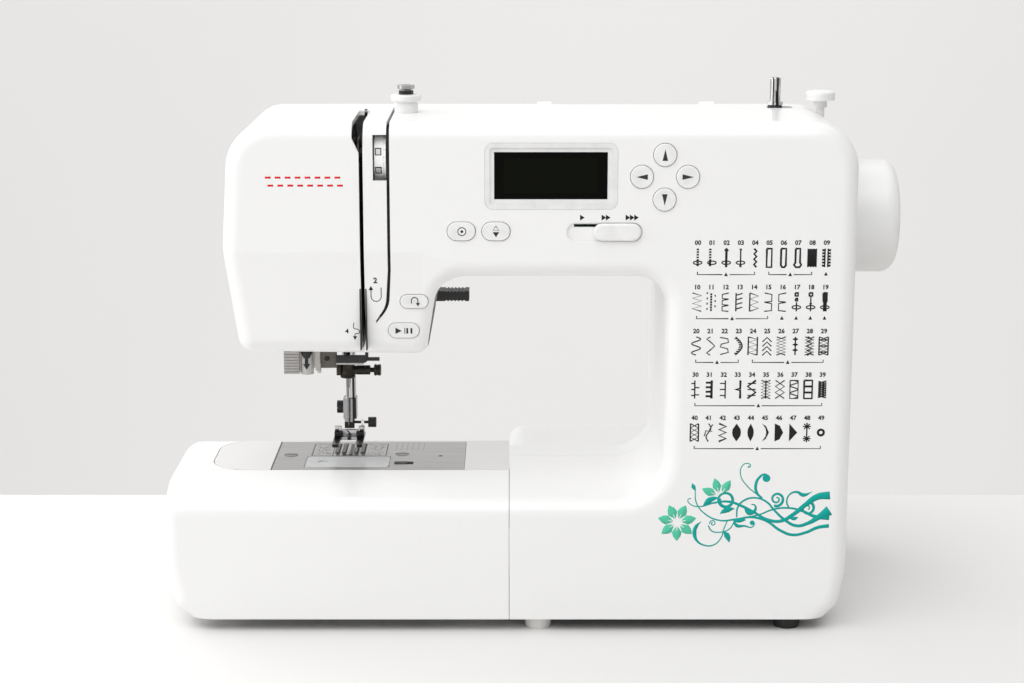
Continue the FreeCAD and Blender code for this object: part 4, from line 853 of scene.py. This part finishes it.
def flower_print():
    # stems that grow in from the right edge of the print, with scrolls, leaves and two flowers
    edge = 157.4
    scrolls = [
        vine((edge, 78.6, 2.1), (151, 77.9, 1.7), (144.5, 73.5, 1.2), (138, 68.2, 1.0),
             (131.5, 64.8, 0.85), (124.5, 65.6, 0.75), (117.5, 69.5, 0.6), (111, 72.8, 0.7),
             (104, 75.2, 0.6), (96, 74.6, 0.5), (88.5, 72.6, 0.3), (83.6, 73.8, 0.25),
             (82.2, 76.2, 0.25), (83.9, 77.1, 0.25)),
        vine((edge, 70.5, 2.7), (152.5, 67.4, 1.5), (146, 63.6, 0.9), (140, 62.3, 0.8),
             (134, 65.3, 0.7), (128.5, 70.2, 0.55), (124, 75.0, 0.5), (118.5, 77.2, 0.45),
             (112.5, 76.2, 0.5), (108.8, 72.4, 0.45), (108.2, 66.8, 0.35)),
        vine((edge, 62.3, 1.0), (151.5, 61.4, 0.85), (145, 58.6, 0.75), (138, 57.4, 0.75),
             (131.5, 59.8, 0.7), (124.5, 64.6, 0.6), (116.5, 66.9, 0.6), (108, 65.8, 0.5),
             (99, 65.2, 0.4), (91.5, 68.6, 0.35), (86.8, 74.4, 0.3), (85.9, 81.2, 0.25)),
        vine((edge, 66.6, 1.3), (150, 67.2, 0.9), (143, 70.2, 0.6), (136, 71.8, 0.5),
             (128, 71.2, 0.45), (120, 68.2, 0.4), (113, 66.8, 0.35)),
        vine((121.5, 77.0, 0.5), (118.6, 80.0, 0.7), (118.0, 84.4, 0.75), (119.6, 88.0, 0.65),
             (122.6, 89.8, 0.5), (124.6, 88.6, 0.5)),
        vine((119.4, 78.6, 0.3), (113.6, 83.4, 0.28), (109.8, 89.6, 0.26), (110.8, 94.6, 0.26),
             (113.6, 95.6, 0.26), (114.9, 94.2, 0.28), (113.8, 93.4, 0.3)),
        vine((86.2, 81.0, 0.25), (85.0, 83.2, 1.1), (84.3, 85.2, 0.05)),
        vine((89.6, 64.6, 0.05), (86.9, 62.0, 0.9), (86.0, 58.0, 1.05), (87.4, 54.2, 0.6),
             (91.2, 51.8, 0.4), (96.2, 51.9, 0.35), (100.2, 55.8, 0.3), (101.6, 60.6, 0.3),
             (103.6, 65.4, 0.25)),
        vine((136.0, 71.6, 0.45), (134.6, 75.2, 0.4), (136.2, 79.2, 0.4), (139.8, 80.4, 0.6),
             (143.2, 78.8, 1.0), (148.2, 80.6, 0.05)),
        vine((112.4, 72.2, 0.5), (114.8, 69.2, 1.2), (117.6, 70.2, 0.8), (117.8, 73.2, 0.4),
             (115.9, 73.8, 0.3)),
        vine((106.6, 65.6, 0.4), (108.4, 62.4, 0.9), (112.4, 62.2, 0.5), (116.6, 61.6, 0.3),
             (118.0, 63.6, 0.3)),
        spiral(129.2, 76.6, 3.9, 0.7, 250, 1.6, 0.75, 0.3),
        spiral(145.6, 71.6, 3.8, 0.7, 80, -1.4, 0.8, 0.25),
        spiral(102.2, 76.0, 4.0, 3.4, 200, -1.1, 0.55, 0.9),
        spiral(95.6, 63.6, 1.7, 0.4, 190, -1.3, 0.3, 0.25, 12),
        vine((93.2, 62.4, 0.35), (95.0, 59.6, 0.35), (99.4, 58.8, 0.3), (104.6, 60.6, 0.3),
             (107.2, 64.8, 0.3)),
        leaf(90.2, 72.9, 98.6, 77.4, 1.5, 0.12),
        leaf(107.2, 71.4, 99.2, 68.6, 1.5, -0.1),
        leaf(101.2, 59.4, 104.6, 53.2, 1.5, 0.1),
        leaf(141.0, 66.9, 136.2, 66.4, 1.0, 0.1),
        leaf(106.4, 64.4, 113.4, 65.4, 1.3, 0.05),
    ]
    knobs = [circle(124.7, 87.1, 2.1, 14), circle(117.6, 62.1, 1.3, 12), circle(114.9, 93.5, 0.5, 10)]
    flower, vein = petals(76.9, 62.4, 10.6, 3.0, 7, 64, 360 / 7)
    second, second_vein = petals(99.8, 77.0, 10.6, 2.7, 3, 58, 49)
    finished(strokes("scroll_print", spread(scrolls), flat=0.045), TEAL, "body", 0)
    finished(plates("scroll_knobs", knobs, smooth=True, thick=0.07), TEAL, "body", 0)
    finished(strokes("flower_petals", flower + second, flat=0.045), MINT, "body", 0)
    veins = strokes("flower_veins", vein + second_vein, depth=-0.08, flat=0.25)
    finished(veins, SHELL, "body", 0)


# ---------------------------------------------------------------- marks on the front and on the keys


def key_place(node):
    # the middle of a key in X and Z, and how far its face is from the front
    low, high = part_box(node)
    return (low[0] + high[0]) / 2 / MM, (low[2] + high[2]) / 2 / MM, low[1] / MM - FRONT


def key_marks():
    tip, base = 3.0, 1.45
    arrows = {
        "key_up": [(0, tip), (base, -tip), (-base, -tip)],
        "key_down": [(0, -tip), (base, tip), (-base, tip)],
        "key_left": [(-tip, 0), (tip, base), (tip, -base)],
        "key_right": [(tip, 0), (-tip, base), (-tip, -base)],
    }
    for node, shape in arrows.items():
        x, z, face = key_place(node)
        shape = [[(x + u, z + v) for u, v in shape]]
        printed(plates(node + "_arrow", shape, face), DARK_INK, node + "_cap")
    x, z, face = key_place("lock_button")
    x = x + 0.3
    dot = plates("lock_dot", [circle(x, z, 0.75, 12)], face, smooth=True)
    ring = strokes("lock_ring", [(circle(x, z, 2.1), 0.27, True, True)], face)
    printed(join("lock_mark", [dot, ring]), DARK_INK, "lock_button_cap")
    x, z, face = key_place("needle_button")
    outline = [(x, z + 3.0), (x + 1.5, z + 0.6), (x - 1.5, z + 0.6), (x, z + 3.0)]
    full = plates("needle_full", [[(x, z - 3.0), (x + 1.7, z - 0.3), (x - 1.7, z - 0.3)]], face)
    line = strokes("needle_line", [(outline, 0.2, False, False)], face)
    printed(join("needle_mark", [full, line]), DARK_INK, "needle_button_cap")


def lean_marks():
    # reverse and start signs ride on their buttons, whose faces stand proud of the leaning front
    proud = -0.95
    x, z = -64.0, TOP - 95.0
    bow = [(x - 1.7, z - 1.0)] + circle(x, z + 0.6, 1.7, 7, 180, -180) + [(x + 1.7, z - 0.9)]
    head = plates("reverse_head", [[(x + 0.6, z - 0.8), (x + 2.8, z - 0.8), (x + 1.7, z - 2.5)]], proud, True)
    line = strokes("reverse_line", [(bow, 0.26, True, False)], proud, True)
    printed(join("reverse_mark", [head, line]), DARK_INK, "reverse_button_cap")
    x, z = -70.1, TOP - 111.3
    bars = [([(x + 0.6, z - 1.6), (x + 0.6, z + 1.6)], 0.2, False, False)]
    for u in (1.9, 4.1):
        bars.append(([(x + u, z - 1.5), (x + u, z + 1.5)], 0.5, False, False))
    play = plates("start_play", [[(x - 4.4, z + 1.7), (x - 4.4, z - 1.7), (x - 1.1, z)]], proud, True)
    line = strokes("start_line", bars, proud, True)
    printed(join("start_mark", [play, line]), DARK_INK, "start_button_cap")


def speed_marks():
    # one, two and three arrows over the slider
    arrows = []
    z = TOP - 49.5
    for x, count in ((23.3, 1), (34.6, 2), (47.2, 3)):
        for n in range(count):
            start = x + 2.25 * n
            arrows.append([(start, z + 1.55), (start, z - 1.55), (start + 2.4, z)])
    printed(plates("speed_marks", arrows))


def threading_marks():
    # threading order beside the slots: 2 with a turn upwards, 4 with a wiggle down to the needle
    x, z = -84.4, TOP - 91.0
    low_x, low_z = -96.6, TOP - 111.5
    hook = [(x + 2.7, z + 3.6), (x + 2.7, z - 1.4)] + circle(x, z - 1.4, 2.7, 7, 0, -180)[1:]
    hook = hook + [(x - 2.7, z + 2.6)]
    wiggle = [(0, 4.6), (0, 1.4), (2.4, 0.6), (2.6, -1.2), (0.6, -1.8), (0.4, -3.4)]
    wiggle = [(low_x + u, low_z + v) for u, v in wiggle]
    heads = [
        [(x - 3.9, z + 2.2), (x - 1.5, z + 2.2), (x - 2.7, z + 4.6)],
        [(low_x - 0.7, low_z - 3.0), (low_x + 1.5, low_z - 3.0), (low_x + 0.4, low_z - 5.2)],
    ]
    lines = [(hook, 0.24, False, False), (wiggle, 0.22, True, False)]
    pieces = [strokes("threading_lines", lines, 0.0, True), plates("threading_heads", heads, 0.0, True)]
    pieces.append(figures("2", x - 0.3, z + 7.4, 4.2, 0.0, True))
    pieces.append(figures("4", low_x - 3.8, low_z - 0.3, 3.4, 0.0, True))
    printed(join("threading_marks", pieces))


def running_stitches():
    # two plain rows of red stitches, the second a little to the right
    left, pitch, half, shift = -140.0, 5.2, 1.5, 1.3
    stitches = []
    for row, z in enumerate((TOP - 28.4, TOP - 32.6)):
        for n in range(8):
            x = left + pitch * n + shift * row
            stitches.append(([(x - half, z), (x + half, z)], 0.62, False, False))
    finished(strokes("running_stitches", stitches, flat=0.1), RED, "body", 0)


# ---------------------------------------------------------------- slots and fittings


def standing(name, corners, y0, y1, soft=0.0):
    # a plate standing in X and Z between two depths
    return plates(name, [corners], (y0 + y1) / 2 - FRONT, thick=(y1 - y0) / 2, soft=soft)


def slab(name, corners, y0, y1, finish, body, soft=0.3):
    finished(standing(name, corners, y0, y1, soft), finish, body)


def oblong(x0, x1, z0, z1):
    return [(x0, z0), (x1, z0), (x1, z1), (x0, z1)]


def turned(name, stations, x, y, z, axis="Z", sides=32):
    # a lathe piece: stations are (distance along the axis, radius)
    start, radius = stations[0]
    bpy.ops.object.select_all(action="DESELECT")
    bpy.ops.mesh.primitive_circle_add(vertices=sides, radius=radius * MM, fill_type="NGON")
    thing = bpy.context.object
    thing.name = name
    bpy.ops.object.mode_set(mode="EDIT")
    bpy.ops.mesh.select_all(action="SELECT")
    bpy.ops.transform.translate(value=(0, 0, start * MM))
    for along, wide in stations[1:]:
        move = {"value": (0, 0, (along - start) * MM)}
        bpy.ops.mesh.extrude_region_move(TRANSFORM_OT_translate=move)
        grow = wide / radius
        bpy.ops.transform.resize(value=(grow, grow, 1))
        start, radius = along, wide
    bpy.ops.object.mode_set(mode="OBJECT")
    turn = {"Z": (0, 0, 0), "X": (0, math.radians(90), 0), "Y": (math.radians(90), 0, 0)}
    thing.rotation_euler = turn[axis]
    thing.location = (x * MM, y * MM, z * MM)
    return settle(thing)


def slot_shade_liners():
    # black channels behind the two thread slots, clear of the take-up lever's swing: black sheets that stand
    # in for the shade inside the slots
    left, deep = -91.4, 30.0
    low, mouth = TOP - 121.5, TOP - 22.0
    face = FRONT + 2.8
    walls = [
        (oblong(left - 1.8, left - 1.1, low, mouth), face, -deep),
        (oblong(left + 1.25, left + 1.95, low, TOP - 2.8), face, -deep),
        (oblong(-98.2, left - 1.8, mouth - 0.7, mouth), face, -deep),
        (oblong(-98.2, -97.5, mouth, TOP - 2.8), face, -deep),
        (oblong(left - 1.8, left + 1.95, low, TOP - 50.0), -deep, -deep + 0.6),
        (oblong(-78.3, -74.0, CREASE - 6.0, TOP - 3.0), FRONT + 4.4, FRONT + 5.0),
        (oblong(-78.3, -74.6, TOP - 4.5, TOP - 3.8), FRONT + 5.0, -2.0),
    ]
    # painted shade: black sheets where the slots would only be dark from shade
    made = [standing("liner_%d" % n, *wall) for n, wall in enumerate(walls)]
    made.append(plates("liner_tail", [oblong(-90.0, -74.0, TOP - 104.5, CREASE + 1.0)], 4.6, True, thick=0.3))
    printed(join("slot_shade_liners", made), BLACK)


def threader_parts():
    # bracket, grey tab, screw and the black thread guide that reaches across in front of the needle bar
    body = "threader_unit"
    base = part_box("threader")[0][2] / MM
    root = -112.9
    slab("threader_bracket", oblong(-122.4, -112.8, base + 4.0, base + 16.0), -3.6, -1.35, DARK_GREY, body,
         soft=0.35)
    slab("threader_tab", oblong(-125.0, -122.2, base + 2.6, base + 15.5), -5.0, -3.7, MID_GREY, body)
    head = [(0, 1.5), (0.5, 1.5), (0.7, 1.3), (0.7, 0.8), (0.35, 0.7)]
    finished(turned("threader_screw", head, -118.4, -3.5, base + 9.6, "Y", 20), BLACK, body)
    arm = [(root, base + 7.6), (-96.4, base + 7.6), (-95.0, base + 8.7), (-88.2, base + 8.7),
           (-88.2, base + 10.6), (-94.6, base + 10.6), (-94.6, base + 13.5), (-96.4, base + 13.5),
           (-96.4, base + 11.8), (root, base + 11.8)]
    slab("threader_guide", arm, -6.4, -3.8, BLACK, body, soft=0.4)
    slab("threader_shelf", oblong(root, -97.2, base + 6.4, base + 7.5), -6.0, -4.0, MID_GREY, body, soft=0.2)


def clamp_parts():
    # one turned collar with a lug and its dot, and the screw that sticks out to the right
    base, x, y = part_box("needle_clamp")[0][2] / MM, NEEDLE_X, 4.0
    rings = [(0, 3.4), (0.25, 4.35), (1.5, 4.35), (1.7, 4.1), (2.6, 4.05), (8.9, 3.9), (9.1, 4.35),
             (9.8, 4.35), (10, 3.9)]
    collar = turned("clamp_collar", rings, x, y, base)
    lug = standing("clamp_lug", oblong(x - 6.4, x - 3.6, base + 1.6, base + 8.6), y - 2.4, y + 2.4, 0.4)
    stud = [(0, 1.2), (0.6, 1.2), (0.6, 0.7), (0.3, 0.6)]
    dot = turned("clamp_dot", stud, x - 4.9, y - 2.4, base + 5.2, "Y", 16)
    barrel = [(2.5, 2.5), (5.0, 2.5), (5.1, 2.75), (12.8, 2.75), (13.0, 2.5), (13.0, 1.4), (15.2, 1.4),
              (15.2, 2.9), (15.5, 3.3), (16.6, 3.3), (16.7, 3.0), (17.3, 3.0), (17.4, 3.3), (18.9, 3.3),
              (19.2, 2.9)]
    stem = turned("clamp_stem", barrel, x, y, base + 4.4, "X", 28)
    piece = join("clamp_body", [collar, lug, stem, dot])
    finished(piece, BRONZE, "needle_unit", 28)
    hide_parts("needle_clamp")


def foot_parts():
    # bright bridge with a slanting slot over two black pads, and the release behind them
    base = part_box("presser_foot")[0][2] / MM
    left, right, pad = -115.9, -98.6, 4.6
    bridge = [(left, base + 1.9), (right, base + 1.9), (right, base + 6.6), (right - 1.6, base + 7.7),
              (-101.6, base + 7.7), (-102.2, base + 5.4), (-111.4, base + 5.4), (-111.8, base + 7.7),
              (left, base + 7.7)]
    slab("foot_bridge", bridge, 8.9, 10.0, BRIDGE, "foot")
    for n, x in enumerate((left, right - pad)):
        slab("foot_pad_%d" % n, oblong(x, x + pad, base + 1.8, base + 4.6), 6.6, 8.8, BLACK, "foot", soft=0.5)
    slash = [(-109.0, base + 4.9), (-108.0, base + 4.9), (-106.2, base + 2.6), (-106.8, base + 2.3)]
    slab("foot_slot", slash, 8.6, 8.89, BLACK, "foot", soft=0.05)
    latch = [(-100.2, base + 2.6), (right, base + 2.6), (right, base + 9.6), (-99.4, base + 11.2),
             (-100.6, base + 10.8)]
    slab("foot_release", latch, 10.6, 11.3, CHROME, "presser_unit", soft=0.15)


# ---------------------------------------------------------------- stage, lights and camera


TABLE_END = 0.174        # metres from here on
WALL_AT = 3.4
AMBIENT = 0.48
LAMPS = [
    # name, place, aimed at, size, power
    ("key", (-0.5, -1.8, 2.5), (0, 0, 0.12), (3.0, 2.0), 45),
    ("overhead", (0.0, -0.6, 2.2), (0, 0.05, 0.1), (3.0, 1.2), 8),
    ("side", (-2.2, -0.5, 0.9), (0, 0, 0.15), (1.6, 1.6), 18),
    ("wall wash", (0.0, 1.9, 1.4), (0, WALL_AT, -0.6), (5.0, 0.5), 17),
    ("low wall wash", (0.0, 1.9, -1.6), (0, WALL_AT, -0.3), (5.0, 0.5), 14.5),
    ("back left", (-1.6, 1.1, 1.0), (0, 0, 0.15), (1.6, 1.6), 19),
    ("back top", (0.2, 0.9, 1.9), (0, 0, 0.1), (3.0, 1.0), 9),
]
EYE = (-0.01238, -1.189, 0.403)
PITCH = math.radians(12.333)
LENS, SENSOR = 74.54, 36


def plain_material(name, tone, rough):
    s = Shader(name)
    mottle = s.noise(3.0, 2.0)
    return s.finish(Base_Color=s.blend(mottle, tone, times(tone, 0.985)), Roughness=rough)


def sheet(name, size, place, turn, finish):
    bpy.ops.mesh.primitive_plane_add(size=size, location=place, rotation=(turn, 0, 0))
    made = bpy.context.object
    made.name = name
    made.data.materials.append(finish)
    return made


def stage():
    # a pale table that ends a little behind the machine, and a pale wall well behind it
    low = cad_box[0][2]
    deep = 14
    white = plain_material("floor white", (0.77, 0.762, 0.752), 0.6)
    pale = plain_material("wall pale", (0.86, 0.848, 0.835), 0.9)
    floor = sheet("floor", deep, (0, TABLE_END - deep / 2, low), 0, white)
    wall = sheet("backdrop", 16, (0, WALL_AT, 0), math.radians(90), pale)


def lights():
    for name, place, target, (wide, tall), power in LAMPS:
        bpy.ops.object.light_add(type="AREA", location=place)
        lamp = bpy.context.object
        lamp.name = name
        lamp.data.shape = "RECTANGLE"
        lamp.data.size = wide
        lamp.data.size_y = tall
        lamp.data.energy = power
        way = Vector(target) - Vector(place)
        lamp.rotation_euler = way.to_track_quat("-Z", "Y").to_euler()
    world = bpy.data.worlds.new("studio")
    bpy.context.scene.world = world
    world.use_nodes = True
    sky = world.node_tree.nodes["Background"]
    sky.inputs["Color"].default_value = (1, 1, 1, 1)
    sky.inputs["Strength"].default_value = AMBIENT


def camera():
    data = bpy.data.cameras.new("camera")
    data.lens = LENS
    data.sensor_width = SENSOR
    eye = bpy.data.objects.new("camera", data)
    eye.location = EYE
    eye.rotation_euler = (math.radians(90) - PITCH, 0, 0)
    bpy.context.collection.objects.link(eye)
    bpy.context.scene.camera = eye


bpy.ops.object.select_all(action="DESELECT")
dress_cad_nodes()
stitch_chart()
flower_print()
key_marks()
lean_marks()
speed_marks()
threading_marks()
running_stitches()
slot_shade_liners()
threader_parts()
clamp_parts()
foot_parts()
stage()
lights()
camera()
bpy.context.scene.view_settings.view_transform = "Standard"
